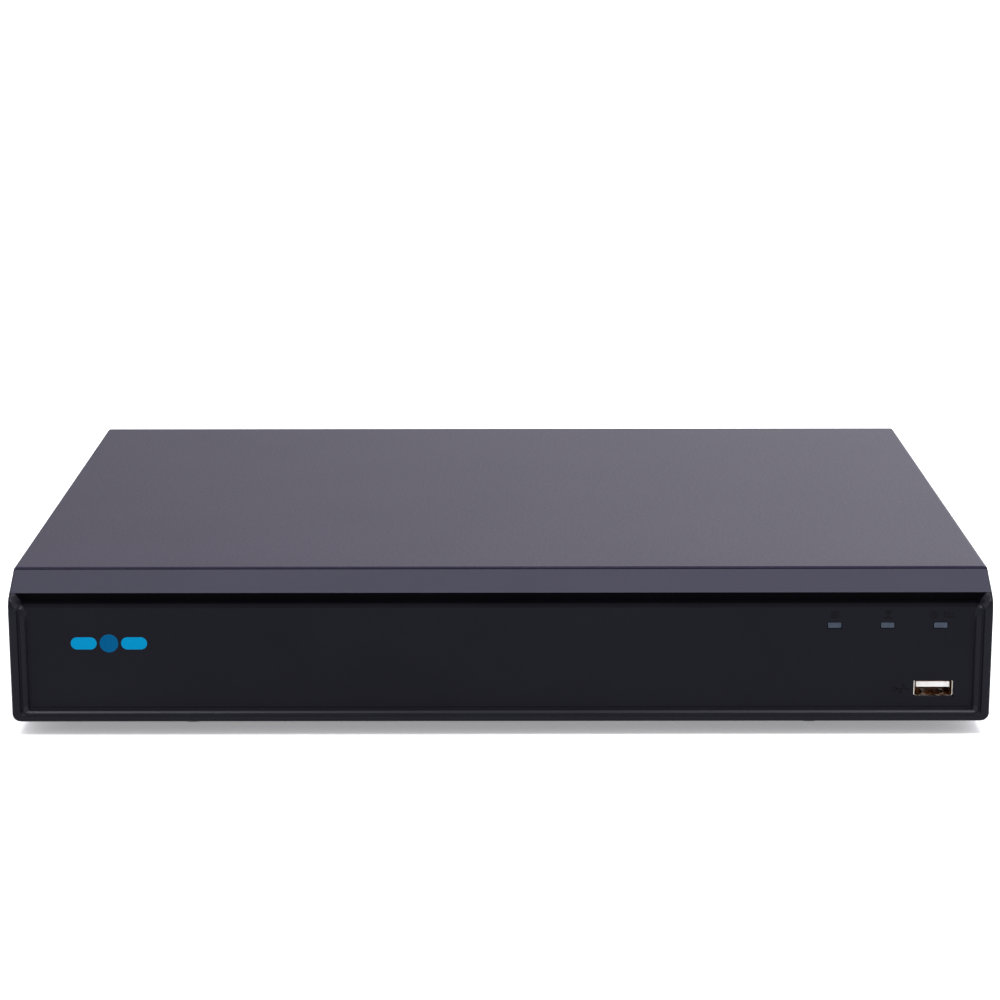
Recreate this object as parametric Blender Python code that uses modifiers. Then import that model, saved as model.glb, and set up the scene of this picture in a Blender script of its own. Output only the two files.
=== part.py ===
"""Compact eight-channel video recorder, modelled as the pieces it is assembled from.

Metres, +Z up. +Y points at the rear panel and +X to the right of someone facing the front.
The origin lies on the resting surface, under the middle of the recorder.
"""

from collections import namedtuple
from math import asin, cos, pi, radians, sin

import bmesh
import bpy
from mathutils import Matrix, Vector

MM = 0.001

# Overall size
WIDTH = 325 * MM
DEPTH = 258 * MM
HEIGHT = 55 * MM
FRONT = -DEPTH / 2
REAR = DEPTH / 2
FOOT_HEIGHT = 5 * MM
GAP = 0.3 * MM

# Case
SHEET = 1.0 * MM
COVER_WIDTH = 325.0 * MM
COVER_FRONT = FRONT + 14 * MM
COVER_REAR = COVER_FRONT + 222.4 * MM
COVER_BOTTOM = FOOT_HEIGHT + GAP
LIP_BOTTOM = 46.5 * MM
TRAY_WIDTH = COVER_WIDTH - 2 * (SHEET + GAP)
TRAY_FRONT = COVER_FRONT + 0.3 * MM
PANEL_FACE = COVER_REAR - SHEET - GAP
TRAY_TOP = HEIGHT - SHEET - GAP
FLOOR_TOP = COVER_BOTTOM + SHEET
FLANGE_TOP = 36 * MM
FLANGE_LOW = 14 * MM
FLANGE_LOW_FRONT = -60 * MM
FLANGE_LOW_REAR = 50 * MM

# Front moulding, as depths behind its foremost plane
BEZEL_BACK = 13.3 * MM
PANEL_DEPTH = 2.2 * MM
BEZEL_WALL = 2.4 * MM
RECESS_HALF_WIDTH = 157.6 * MM
CLIP_PLACES = [x * MM for x in (-135, -60, 60, 86)]
CLIP_WIDTH = 8 * MM
CLIP_THICKNESS = 1.6 * MM
CLIP_Z = 26 * MM

# Indicator windows
WINDOW_SIZE = (4.45 * MM, 1.85 * MM)
WINDOW_PITCH = 17.55 * MM
WINDOW_FIRST_X = 110.5 * MM
WINDOW_Z = 37.85 * MM
WINDOW_GAP = 0.2 * MM

# Front board and its USB socket
FRONT_BOARD_LOW = Vector((98 * MM, FRONT + 7.5 * MM, 11.15 * MM))
FRONT_BOARD_HIGH = Vector((158 * MM, FRONT + 45 * MM, 12.75 * MM))
USB_SHELL = Vector((13.1 * MM, 14 * MM, 5.7 * MM))
USB_WALL = 0.35 * MM
FRONT_USB_X = 144 * MM
FRONT_USB_OPENING = (13.6 * MM, 6.1 * MM)
FRONT_USB_SET_BACK = 1.0 * MM

# Main board
BOARD_THICKNESS = 1.6 * MM
BOARD_BOTTOM = 12.3 * MM
BOARD_TOP = BOARD_BOTTOM + BOARD_THICKNESS
BOARD_LOW = Vector((-150 * MM, 5 * MM, BOARD_BOTTOM))
BOARD_HIGH = Vector((150 * MM, 103 * MM, BOARD_TOP))
STANDOFF_RADIUS = 3.5 * MM
STANDOFFS = [(x * MM, y * MM) for y in (14, 94) for x in (-140, -70, 32)]
SCREW_HOLE = 1.8 * MM
CHIP_MIDDLE = Vector((-20 * MM, 58 * MM, 0))
CHIP_HALF = 11.5 * MM
CHIP_HEIGHT = 1.8 * MM

# Rear sockets: middle of the opening across and up, then its width and height
Port = namedtuple("Port", "x z width height")
SOCKET_BOTTOM = BOARD_TOP + GAP
HDMI = Port(42 * MM, SOCKET_BOTTOM + 2.9 * MM, 15.0 * MM, 5.8 * MM)
REAR_USB = Port(20 * MM, SOCKET_BOTTOM + 2.85 * MM, 13.1 * MM, 5.7 * MM)
NETWORK = Port(-4 * MM, SOCKET_BOTTOM + 6.8 * MM, 16.0 * MM, 13.6 * MM)
VGA = Port(-36 * MM, 24 * MM, 16.9 * MM, 8.9 * MM)
TERMINAL = Port(-74 * MM, SOCKET_BOTTOM + 4.5 * MM, 29.0 * MM, 9.0 * MM)
DC_INLET = Port(-143 * MM, SOCKET_BOTTOM + 5.5 * MM, 9.0 * MM, 11.0 * MM)
SWITCH = Port(-118 * MM, 27.5 * MM, 14.0 * MM, 21.0 * MM)
AUDIO = Port(63 * MM, SOCKET_BOTTOM + 12.5 * MM, 10.6 * MM, 25.0 * MM)
AUDIO_PITCH = 14 * MM
BNC_COLUMNS = 4
BNC_ROWS = 2
BNC_PITCH = 18 * MM
BNC_FIRST_X = 84 * MM
BNC_LOW_Z = 20.5 * MM
BNC_ROW_PITCH = 17 * MM
BNC_HOLE = 6.6 * MM
BNC_BARREL = 4.8 * MM
PHONO_RADIUS = 4.15 * MM
PHONO_HOLE = 4.9 * MM
JACKSCREW_OFFSET = 12.5 * MM
JACKSCREW_HOLE = 1.9 * MM
INLET_BORE = 3.1 * MM
SOCKET_PROUD = 0.6 * MM

# Power switch
ROCKER_RADIUS = 8.6 * MM
ROCKER_WIDTH = 10.6 * MM
ROCKER_TILT = radians(10)
ROCKER_AXIS_Y = PANEL_FACE - 1.0 * MM

# Fasteners
SIDE_SCREWS = [(side, y * MM) for side in (-1, 1) for y in (-78, 70)]
SIDE_SCREW_Z = 22 * MM
SINK_RADIUS = 3.2 * MM
SINK_DEPTH = 1.5 * MM
SCREW_SHANK = 1.5 * MM
SCREW_LENGTH = 5 * MM
REAR_SCREW_X = 150 * MM
REAR_SCREW_Z = 50.4 * MM
GROUND = (152.5 * MM, 12.5 * MM)

# Feet
FOOT_X = 104.5 * MM
FOOT_FRONT_Y = FRONT + 23 * MM
FOOT_REAR_Y = COVER_REAR - 23 * MM
FOOT_RADIUS = 8.3 * MM

# Disk drive
DRIVE_LOW = Vector((-152 * MM, -105 * MM, 10.3 * MM))
DRIVE_SIZE = Vector((147 * MM, 101.6 * MM, 26.1 * MM))
DRIVE_LID = 1.2 * MM
DRIVE_BOSSES = [(x * MM, y * MM) for x in (28.5, 130.1) for y in (3.2, 98.4)]
SPINDLE = DRIVE_LOW + Vector((51 * MM, 50.8 * MM, 0))
PLATTER_RADIUS = 47.5 * MM
PIVOT = DRIVE_LOW + Vector((105 * MM, 40 * MM, 0))
ARM_LENGTH = 50 * MM
ARM_PARK_ANGLE = radians(113.3)

PARTS = "video_recorder"
CUTTERS = "cutters"


# ---------------------------------------------------------------- scene and materials


def clear_scene():
    """Remove every object, mesh and collection left from before."""
    for obj in list(bpy.data.objects):
        bpy.data.objects.remove(obj, do_unlink=True)
    for collection in list(bpy.data.collections):
        bpy.data.collections.remove(collection)


def collection(name):
    """The collection of that name, made when it is first asked for."""
    found = bpy.data.collections.get(name)
    if found is None:
        found = bpy.data.collections.new(name)
        bpy.context.scene.collection.children.link(found)
    return found


def finish(name, colour, roughness, metallic=0.0):
    """A Principled material with one colour, roughness and metallic value."""
    material = bpy.data.materials.get(name)
    if material is None:
        material = bpy.data.materials.new(name)
        material.use_nodes = True
        shader = material.node_tree.nodes["Principled BSDF"]
        shader.inputs["Base Color"].default_value = (*colour, 1)
        shader.inputs["Roughness"].default_value = roughness
        shader.inputs["Metallic"].default_value = metallic
    return material


def powder_coat():
    """Fine black powder coat on steel sheet."""
    return finish("black_powder_coat", (0.035, 0.033, 0.045), 0.45)


def moulded_black():
    """Black moulded plastic."""
    return finish("black_moulded_plastic", (0.012, 0.012, 0.015), 0.35)


def zinc_steel():
    """Zinc-plated steel."""
    return finish("zinc_plated_steel", (0.55, 0.56, 0.58), 0.35, 1.0)


def nickel():
    """Nickel plate."""
    return finish("nickel_plate", (0.62, 0.60, 0.57), 0.22, 1.0)


def cast_aluminium():
    """Die-cast aluminium."""
    return finish("cast_aluminium", (0.60, 0.61, 0.62), 0.45, 1.0)


def black_aluminium():
    """Black anodised aluminium."""
    return finish("black_anodised_aluminium", (0.02, 0.02, 0.022), 0.4, 1.0)


def circuit_board():
    """Green solder mask on a glass-fibre board."""
    return finish("green_solder_mask", (0.01, 0.10, 0.04), 0.4)


def rubber():
    """Black rubber."""
    return finish("black_rubber", (0.02, 0.02, 0.02), 0.85)


def white_plastic():
    """White moulded plastic."""
    return finish("white_plastic", (0.80, 0.80, 0.78), 0.4)


def window_plastic():
    """Frosted light-guide plastic."""
    return finish("frosted_light_guide", (0.06, 0.075, 0.10), 0.3)


def green_plastic():
    """Green moulded plastic."""
    return finish("green_plastic", (0.02, 0.30, 0.09), 0.45)


def blue_plastic():
    """Blue moulded plastic."""
    return finish("blue_plastic", (0.02, 0.06, 0.45), 0.45)


def red_plastic():
    """Red moulded plastic."""
    return finish("red_plastic", (0.55, 0.02, 0.02), 0.4)


# ---------------------------------------------------------------- shape helpers


def link(name, mesh, material=None, cutter=False):
    """Put a mesh in the scene as a part, or as a cutter that is never rendered."""
    obj = bpy.data.objects.new(name, mesh)
    if cutter:
        obj.hide_render = True
        obj.display_type = "WIRE"
    collection(CUTTERS if cutter else PARTS).objects.link(obj)
    if material is not None:
        mesh.materials.clear()
        mesh.materials.append(material)
    return obj


def mesh_from(name, shape):
    """Turn a bmesh into a mesh, with its faces pointing out."""
    bmesh.ops.recalc_face_normals(shape, faces=shape.faces)
    mesh = bpy.data.meshes.new(name)
    shape.to_mesh(mesh)
    shape.free()
    return mesh


def round_shading(mesh, angle=radians(35)):
    """Smooth shading, broken at edges sharper than the angle."""
    mesh.shade_smooth()
    mesh.set_sharp_from_angle(angle=angle)


def add_box(shape, low, high):
    """Add a box to a bmesh, from one corner to the opposite one."""
    low = Vector(low)
    high = Vector(high)
    size = high - low
    matrix = Matrix.Translation((low + high) / 2) @ Matrix.Diagonal((*size, 1))
    return bmesh.ops.create_cube(shape, size=1, matrix=matrix)["verts"]


def add_rod(shape, start, end, radius, end_radius=None, segments=20):
    """Add a capped cylinder, or a cone, between two points to a bmesh."""
    start = Vector(start)
    along = Vector(end) - start
    turn = Vector((0, 0, 1)).rotation_difference(along.normalized()).to_matrix().to_4x4()
    matrix = Matrix.Translation(start + along / 2) @ turn
    bmesh.ops.create_cone(
        shape,
        cap_ends=True,
        segments=segments,
        radius1=radius,
        radius2=radius if end_radius is None else end_radius,
        depth=along.length,
        matrix=matrix,
    )


def boxes(name, corners, material=None, cutter=False):
    """One object made of boxes that don't touch each other."""
    shape = bmesh.new()
    for low, high in corners:
        add_box(shape, low, high)
    return link(name, mesh_from(name, shape), material, cutter)


def box(name, low, high, material=None, cutter=False):
    """One box, from one corner to the opposite one."""
    return boxes(name, [(low, high)], material, cutter)


def rods(name, ends, radius, material=None, cutter=False, end_radius=None, segments=20):
    """One object made of equal cylinders that don't touch each other."""
    shape = bmesh.new()
    for start, end in ends:
        add_rod(shape, start, end, radius, end_radius, segments)
    mesh = mesh_from(name, shape)
    round_shading(mesh)
    return link(name, mesh, material, cutter)


# An outline's own two directions and the direction that it is pushed along
PLANES = {
    "X": Matrix(((0, 0, 1), (1, 0, 0), (0, 1, 0))),
    "Y": Matrix(((1, 0, 0), (0, 0, -1), (0, 1, 0))),
    "Z": Matrix.Identity(3),
}


def prism(name, outline, start, end, axis, material=None, cutter=False):
    """A flat outline pushed along an axis from start to end.

    The outline is given in (y, z) for X, in (x, z) for Y and in (x, y) for Z.
    """
    curve = bpy.data.curves.new(name, "CURVE")
    curve.dimensions = "2D"
    curve.fill_mode = "BOTH"
    curve.extrude = abs(end - start) / 2
    spline = curve.splines.new("POLY")
    spline.points.add(len(outline) - 1)
    for point, (across, up) in zip(spline.points, outline):
        point.co = (across, up, 0, 1)
    spline.use_cyclic_u = True
    middle = (start + end) / 2
    offset = {"X": (middle, 0, 0), "Y": (0, middle, 0), "Z": (0, 0, middle)}[axis]
    guide = bpy.data.objects.new(name, curve)
    guide.matrix_world = Matrix.Translation(offset) @ PLANES[axis].to_4x4()
    return meshed(guide, material, cutter)


def meshed(guide, material=None, cutter=False):
    """Turn a curve object into a mesh object of the same name, its caps welded."""
    name = guide.name
    bpy.context.scene.collection.objects.link(guide)
    bpy.context.view_layer.update()
    depsgraph = bpy.context.evaluated_depsgraph_get()
    mesh = bpy.data.meshes.new_from_object(guide.evaluated_get(depsgraph))
    mesh.transform(guide.matrix_world)
    bpy.data.objects.remove(guide, do_unlink=True)
    shape = bmesh.new()
    shape.from_mesh(mesh)
    bmesh.ops.remove_doubles(shape, verts=shape.verts, dist=0.01 * MM)
    bmesh.ops.dissolve_limit(shape, angle_limit=radians(0.5), verts=shape.verts, edges=shape.edges)
    bpy.data.meshes.remove(mesh)
    return link(name, mesh_from(name, shape), material, cutter)


def turned(name, profile, material, steps=24):
    """A profile of (radius, height) points, from the top down its outer side, turned about Z."""
    mesh = bpy.data.meshes.new(name)
    points = [(radius, 0, height) for radius, height in profile]
    edges = [(i, i + 1) for i in range(len(points) - 1)]
    mesh.from_pydata(points, edges, [])
    obj = link(name, mesh, material)
    screw = obj.modifiers.new("turn", "SCREW")
    screw.axis = "Z"
    screw.steps = steps
    screw.render_steps = steps
    screw.use_merge_vertices = True
    screw.merge_threshold = 0.00001
    screw.use_smooth_shade = False
    return obj


def combine(target, other, operation):
    """Add a Boolean modifier with the EXACT solver to the target."""
    modifier = target.modifiers.new(f"{operation.lower()}_{other.name}", "BOOLEAN")
    modifier.operation = operation
    modifier.solver = "EXACT"
    modifier.object = other


def cut(target, *cutters):
    """Take the cutters away from the target."""
    for cutter in cutters:
        combine(target, cutter, "DIFFERENCE")


def add(target, *additions):
    """Join the additions to the target."""
    for addition in additions:
        combine(target, addition, "UNION")


def bevel(obj, width, segments=2, angle=radians(40)):
    """Round every edge sharper than the angle."""
    modifier = obj.modifiers.new("bevel", "BEVEL")
    modifier.width = width
    modifier.segments = segments
    modifier.limit_method = "ANGLE"
    modifier.angle_limit = angle


def arc(centre, radius, start, end, count):
    """Points on an arc, both ends included."""
    angles = [start + (end - start) * i / (count - 1) for i in range(count)]
    return [(centre[0] + radius * cos(a), centre[1] + radius * sin(a)) for a in angles]


def rounded_rectangle(low, high, radius, count=5):
    """The outline of a rectangle with round corners, anticlockwise."""
    corners = [
        (high[0] - radius, high[1] - radius, 0),
        (low[0] + radius, high[1] - radius, pi / 2),
        (low[0] + radius, low[1] + radius, pi),
        (high[0] - radius, low[1] + radius, 3 * pi / 2),
    ]
    outline = []
    for x, y, start in corners:
        outline += arc((x, y), radius, start, start + pi / 2, count)
    return outline


def from_mesh_of(source, name, location, rotation=(0, 0, 0)):
    """A copy of a finished object that shares its mesh, at another place."""
    obj = bpy.data.objects.new(name, source.data)
    collection(PARTS).objects.link(obj)
    obj.location = location
    obj.rotation_euler = rotation
    return obj


def settled(obj):
    """Apply an object's modifiers, so that its mesh can be shared."""
    bpy.context.view_layer.update()
    depsgraph = bpy.context.evaluated_depsgraph_get()
    mesh = bpy.data.meshes.new_from_object(obj.evaluated_get(depsgraph))
    obj.modifiers.clear()
    obj.data = mesh
    return obj


# ---------------------------------------------------------------- case


def bottom_tray():
    """Folded base: floor, two side flanges and the posts of the boards and the drive."""
    half = TRAY_WIDTH / 2
    front = TRAY_FRONT + SHEET + GAP
    rear = PANEL_FACE - SHEET - GAP
    shape = bmesh.new()
    add_box(shape, (-half, front, COVER_BOTTOM), (half, rear, FLANGE_TOP))
    open_faces = [face for face in shape.faces if face.normal.z > 0.5 or abs(face.normal.y) > 0.5]
    bmesh.ops.delete(shape, geom=open_faces, context="FACES")
    mesh = bpy.data.meshes.new("bottom_tray")
    shape.to_mesh(mesh)
    shape.free()
    tray = link("bottom_tray", mesh, powder_coat())
    wall = tray.modifiers.new("sheet", "SOLIDIFY")
    wall.thickness = SHEET
    wall.offset = -1
    wall.use_even_offset = True

    pillars = [(x, y, BOARD_BOTTOM - GAP) for x, y in STANDOFFS]
    pillars += [(DRIVE_LOW.x + x, DRIVE_LOW.y + y, DRIVE_LOW.z - GAP) for x, y in DRIVE_BOSSES]
    inside_floor = FLOOR_TOP - SHEET / 2
    posts = [((x, y, inside_floor), (x, y, top_z)) for x, y, top_z in pillars]
    add(tray, rods("tray_posts", posts, STANDOFF_RADIUS, cutter=True, segments=12))
    holes = [((x, y, 0), (x, y, top_z + SHEET)) for x, y, top_z in pillars]
    cut(tray, rods("tray_post_holes", holes, SCREW_HOLE, cutter=True, segments=8))

    reach = half + SHEET
    low = (-reach, FLANGE_LOW_FRONT, FLANGE_LOW)
    high = (reach, FLANGE_LOW_REAR, HEIGHT)
    cut(tray, box("tray_flange_cut", low, high, cutter=True))
    cut(tray, rods("tray_side_screw_holes", side_screw_axes(), SCREW_HOLE, cutter=True, segments=12))
    cut(tray, floor_vents())
    return tray


def end_plates():
    """Upright sheets that close the tray: the bracket behind the bezel and the rear panel."""
    half = TRAY_WIDTH / 2
    bracket = box(
        "front_bracket",
        (-half, TRAY_FRONT, COVER_BOTTOM),
        (half, TRAY_FRONT + SHEET, TRAY_TOP),
        zinc_steel(),
    )
    cut(bracket, front_wall_cuts())
    panel = box(
        "rear_panel",
        (-half, PANEL_FACE - SHEET, COVER_BOTTOM),
        (half, PANEL_FACE, TRAY_TOP),
        powder_coat(),
    )
    cut(panel, rear_panel_windows(), rear_panel_holes(), rear_vents())


def side_screw_axes():
    """Short axes across the two side walls where the cover screws go."""
    reach = 4 * MM
    middle = TRAY_WIDTH / 2
    return [
        ((side * (middle - reach), y, SIDE_SCREW_Z), (side * (middle + reach), y, SIDE_SCREW_Z))
        for side, y in SIDE_SCREWS
    ]


def front_wall_cuts():
    """Window for the light guides and the USB socket, and slots for the bezel's clips."""
    low_y = TRAY_FRONT - SHEET
    high_y = TRAY_FRONT + 2 * SHEET
    window = ((94 * MM, low_y, 9.5 * MM), (159 * MM, high_y, 44 * MM))
    slots = [
        (
            (x - CLIP_WIDTH / 2 - GAP, low_y, CLIP_Z - CLIP_THICKNESS / 2 - GAP),
            (x + CLIP_WIDTH / 2 + GAP, high_y, CLIP_Z + CLIP_THICKNESS / 2 + 4 * GAP),
        )
        for x in CLIP_PLACES
    ]
    return boxes("front_wall_cuts", [window, *slots], cutter=True)


def rear_panel_windows():
    """Rectangular openings of the rear sockets."""
    low_y = PANEL_FACE - 2 * SHEET
    high_y = PANEL_FACE + SHEET
    windows = []
    for port in (HDMI, REAR_USB, NETWORK, TERMINAL, DC_INLET, SWITCH, VGA):
        half_width = port.width / 2 + GAP
        half_height = port.height / 2 + GAP
        low = (port.x - half_width, low_y, port.z - half_height)
        high = (port.x + half_width, high_y, port.z + half_height)
        windows.append((low, high))
    return boxes("rear_panel_windows", windows, cutter=True)


def rear_axes(places):
    """Short axes across the rear panel at (x, z) places."""
    return [((x, PANEL_FACE - 3 * SHEET, z), (x, PANEL_FACE + 3 * SHEET, z)) for x, z in places]


def rear_panel_holes():
    """Round openings of the rear sockets and screws."""
    shape = bmesh.new()
    for start, end in rear_axes(bnc_places()):
        add_rod(shape, start, end, BNC_HOLE, segments=20)
    for start, end in rear_axes(audio_places()):
        add_rod(shape, start, end, PHONO_HOLE, segments=16)
    small = [(side * REAR_SCREW_X, REAR_SCREW_Z) for side in (-1, 1)]
    small.append(GROUND)
    for start, end in rear_axes(small):
        add_rod(shape, start, end, SCREW_HOLE, segments=12)
    for start, end in rear_axes(jackscrew_places()):
        add_rod(shape, start, end, JACKSCREW_HOLE, segments=12)
    return link("rear_panel_holes", mesh_from("rear_panel_holes", shape), cutter=True)


def rear_vents():
    """A row of upright slots high on the rear panel."""
    count = 16
    pitch = 5.5 * MM
    slot_width = 2.6 * MM
    first = -102 * MM
    slots = [
        (
            (first + i * pitch, PANEL_FACE - 2 * SHEET, 34 * MM),
            (first + i * pitch + slot_width, PANEL_FACE + SHEET, 44 * MM),
        )
        for i in range(count)
    ]
    return boxes("rear_vents", slots, cutter=True)


def floor_vents():
    """Two banks of slots in the floor, under the drive and in front of the main board."""
    pitch = 6 * MM
    slot = (3 * MM, 28 * MM)
    banks = [(-118 * MM, -70 * MM, 10), (40 * MM, -60 * MM, 10)]
    slots = []
    for first, low_y, count in banks:
        for i in range(count):
            low = (first + i * pitch, low_y, COVER_BOTTOM - SHEET)
            high = (low[0] + slot[0], low_y + slot[1], FLOOR_TOP + SHEET)
            slots.append((low, high))
    return boxes("floor_vents", slots, cutter=True)


def top_cover():
    """Folded cover: top, two sides and a short lip down the rear."""
    half = COVER_WIDTH / 2
    fold_radius = 1.2 * MM
    shape = bmesh.new()
    add_box(shape, (-half, COVER_FRONT, COVER_BOTTOM), (half, COVER_REAR, HEIGHT))
    open_faces = [face for face in shape.faces if face.normal.z < -0.5 or face.normal.y < -0.5]
    bmesh.ops.delete(shape, geom=open_faces, context="FACES")
    folds = [edge for edge in shape.edges if len(edge.link_faces) == 2]
    bmesh.ops.bevel(shape, geom=folds, offset=fold_radius, segments=3, affect="EDGES", profile=0.5)
    mesh = bpy.data.meshes.new("top_cover")
    shape.to_mesh(mesh)
    shape.free()
    cover = link("top_cover", mesh, powder_coat())
    wall = cover.modifiers.new("sheet", "SOLIDIFY")
    wall.thickness = SHEET
    wall.offset = -1
    wall.use_even_offset = True

    reach = half + SHEET
    below_lip = ((-half + 2 * SHEET, COVER_REAR - 3 * SHEET, 0), (half - 2 * SHEET, REAR, LIP_BOTTOM))
    cut(cover, box("cover_rear_cut", *below_lip, cutter=True))
    cut(cover, side_vents(reach))
    cut(cover, countersinks())
    lip_holes = rear_axes([(side * REAR_SCREW_X, REAR_SCREW_Z) for side in (-1, 1)])
    cut(cover, rods("cover_lip_holes", lip_holes, SCREW_HOLE, cutter=True, segments=12))
    return cover


def side_vents(reach):
    """Upright slots through both sides of the cover."""
    count = 14
    pitch = 6.5 * MM
    slot_width = 2.8 * MM
    first = -52 * MM
    slots = []
    for side in (-1, 1):
        inner, outer = sorted((side * (reach - 5 * SHEET), side * reach))
        for i in range(count):
            y = first + i * pitch
            slots.append(((inner, y, 16 * MM), (outer, y + slot_width, 38 * MM)))
    return boxes("cover_side_vents", slots, cutter=True)


def countersinks():
    """Tapered holes for the flush side screws."""
    shape = bmesh.new()
    for side, y in SIDE_SCREWS:
        outer = side * (COVER_WIDTH / 2 + 0.2 * MM)
        inner = side * (COVER_WIDTH / 2 - SINK_DEPTH)
        add_rod(
            shape, (outer, y, SIDE_SCREW_Z), (inner, y, SIDE_SCREW_Z),
            SINK_RADIUS + 0.35 * MM, SCREW_HOLE, segments=20,
        )
    return link("countersinks", mesh_from("countersinks", shape), cutter=True)


def at_front(points):
    """(depth, height) points in millimetres, as (y, z) places."""
    return [(FRONT + depth * MM, z * MM) for depth, z in points]


def bezel_blank():
    """Solid blank of the bezel: rounded lower corners, sloped top, eased front edges."""
    half = WIDTH / 2
    radius = 2.8 * MM
    low = FOOT_HEIGHT
    outline = [(half, 54.2 * MM), (-half, 54.2 * MM)]
    outline += arc((radius - half, low + radius), radius, pi, 3 * pi / 2, 6)
    outline += arc((half - radius, low + radius), radius, 3 * pi / 2, 2 * pi, 6)
    blank = prism("front_bezel", outline, FRONT, FRONT + BEZEL_BACK, "Y", moulded_black())
    reach = half + MM
    above = at_front([(-1, 41.5), (0.9, 47.0), (3.4, 49.2), (14.3, 54.925), (14.3, 58), (-1, 58)])
    below = at_front([(-1, 6.8), (-1, 4.0), (1.8, 4.0)])
    cut(blank, prism("bezel_slope", above, -reach, reach, "X", cutter=True))
    cut(blank, prism("bezel_lower_edge", below, -reach, reach, "X", cutter=True))
    return blank


def front_bezel():
    """Hollow front moulding with a recessed panel under a sloped visor."""
    bezel = bezel_blank()
    recess = at_front(
        [
            (-5, 7.9),
            (0, 7.9),
            (1.6, 9.4),
            (2.6, 9.7),
            (2.6, 10.2),
            (PANEL_DEPTH / MM, 10.5),
            (PANEL_DEPTH / MM, 44.0),
            (4.6, 45.4),
            (3.4, 49.2),
            (3.4, 58.0),
            (-5, 58.0),
        ]
    )
    cut(bezel, prism("bezel_recess", recess, -RECESS_HALF_WIDTH, RECESS_HALF_WIDTH, "X", cutter=True))

    inside = (PANEL_DEPTH + BEZEL_WALL) / MM
    cavity = at_front([(inside, 7.2), (inside, 43.6), (7.0, 45.2), (7.2, 48.7), (15.0, 52.8), (15.0, 7.2)])
    inner = WIDTH / 2 - BEZEL_WALL
    cut(bezel, prism("bezel_cavity", cavity, -inner, inner, "X", cutter=True))
    cut(bezel, bezel_openings())
    clips = [
        (
            (x - CLIP_WIDTH / 2, FRONT + PANEL_DEPTH + BEZEL_WALL / 2, CLIP_Z - CLIP_THICKNESS / 2),
            (x + CLIP_WIDTH / 2, TRAY_FRONT + 3 * SHEET, CLIP_Z + CLIP_THICKNESS / 2),
        )
        for x in CLIP_PLACES
    ]
    add(bezel, boxes("bezel_clips", clips, cutter=True))
    return bezel


def bezel_openings():
    """Holes for the three windows and for the USB plug."""
    low_y = FRONT + PANEL_DEPTH - 1 * MM
    high_y = FRONT + PANEL_DEPTH + BEZEL_WALL + 1 * MM
    half_width = WINDOW_SIZE[0] / 2 + WINDOW_GAP
    half_height = WINDOW_SIZE[1] / 2 + WINDOW_GAP
    holes = [
        ((x - half_width, low_y, WINDOW_Z - half_height), (x + half_width, high_y, WINDOW_Z + half_height))
        for x in window_places()
    ]
    usb_z = front_usb_bottom() + USB_SHELL.z / 2
    half_width = FRONT_USB_OPENING[0] / 2
    half_height = FRONT_USB_OPENING[1] / 2
    holes.append(
        (
            (FRONT_USB_X - half_width, low_y, usb_z - half_height),
            (FRONT_USB_X + half_width, high_y, usb_z + half_height),
        )
    )
    return boxes("bezel_openings", holes, cutter=True)


def window_places():
    """Middle of each indicator window along X."""
    return [WINDOW_FIRST_X + i * WINDOW_PITCH for i in range(3)]


def front_usb_bottom():
    """Underside of the front USB shell, just above its board."""
    return FRONT_BOARD_HIGH.z + GAP


def feet():
    """Four moulded feet with a small hollow underneath."""
    radius = FOOT_RADIUS
    profile = [
        (0, FOOT_HEIGHT),
        (radius, FOOT_HEIGHT),
        (radius, FOOT_HEIGHT - 0.6 * MM),
        (radius - 0.9 * MM, 0.5 * MM),
        (radius - 1.4 * MM, 0),
        (radius - 3.2 * MM, 0),
        (radius - 3.8 * MM, 0.8 * MM),
        (0, 0.8 * MM),
    ]
    first = settled(turned("foot_front_left", profile, rubber(), steps=28))
    round_shading(first.data)
    first.location = (-FOOT_X, FOOT_FRONT_Y, 0)
    from_mesh_of(first, "foot_front_right", (FOOT_X, FOOT_FRONT_Y, 0))
    from_mesh_of(first, "foot_rear_left", (-FOOT_X, FOOT_REAR_Y, 0))
    from_mesh_of(first, "foot_rear_right", (FOOT_X, FOOT_REAR_Y, 0))


def cross_recess(name, top, reach, depth, width):
    """The cross of a screwdriver slot, sunk into a head whose top is at that height."""
    half = width / 2
    shape = bmesh.new()
    add_box(shape, (-reach, -half, top - depth), (reach, half, top + depth))
    cross = link(name, mesh_from(name, shape), cutter=True)
    other = box(f"{name}_second", (-half, -reach, top - depth), (half, reach, top + depth), cutter=True)
    return cross, other


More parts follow.
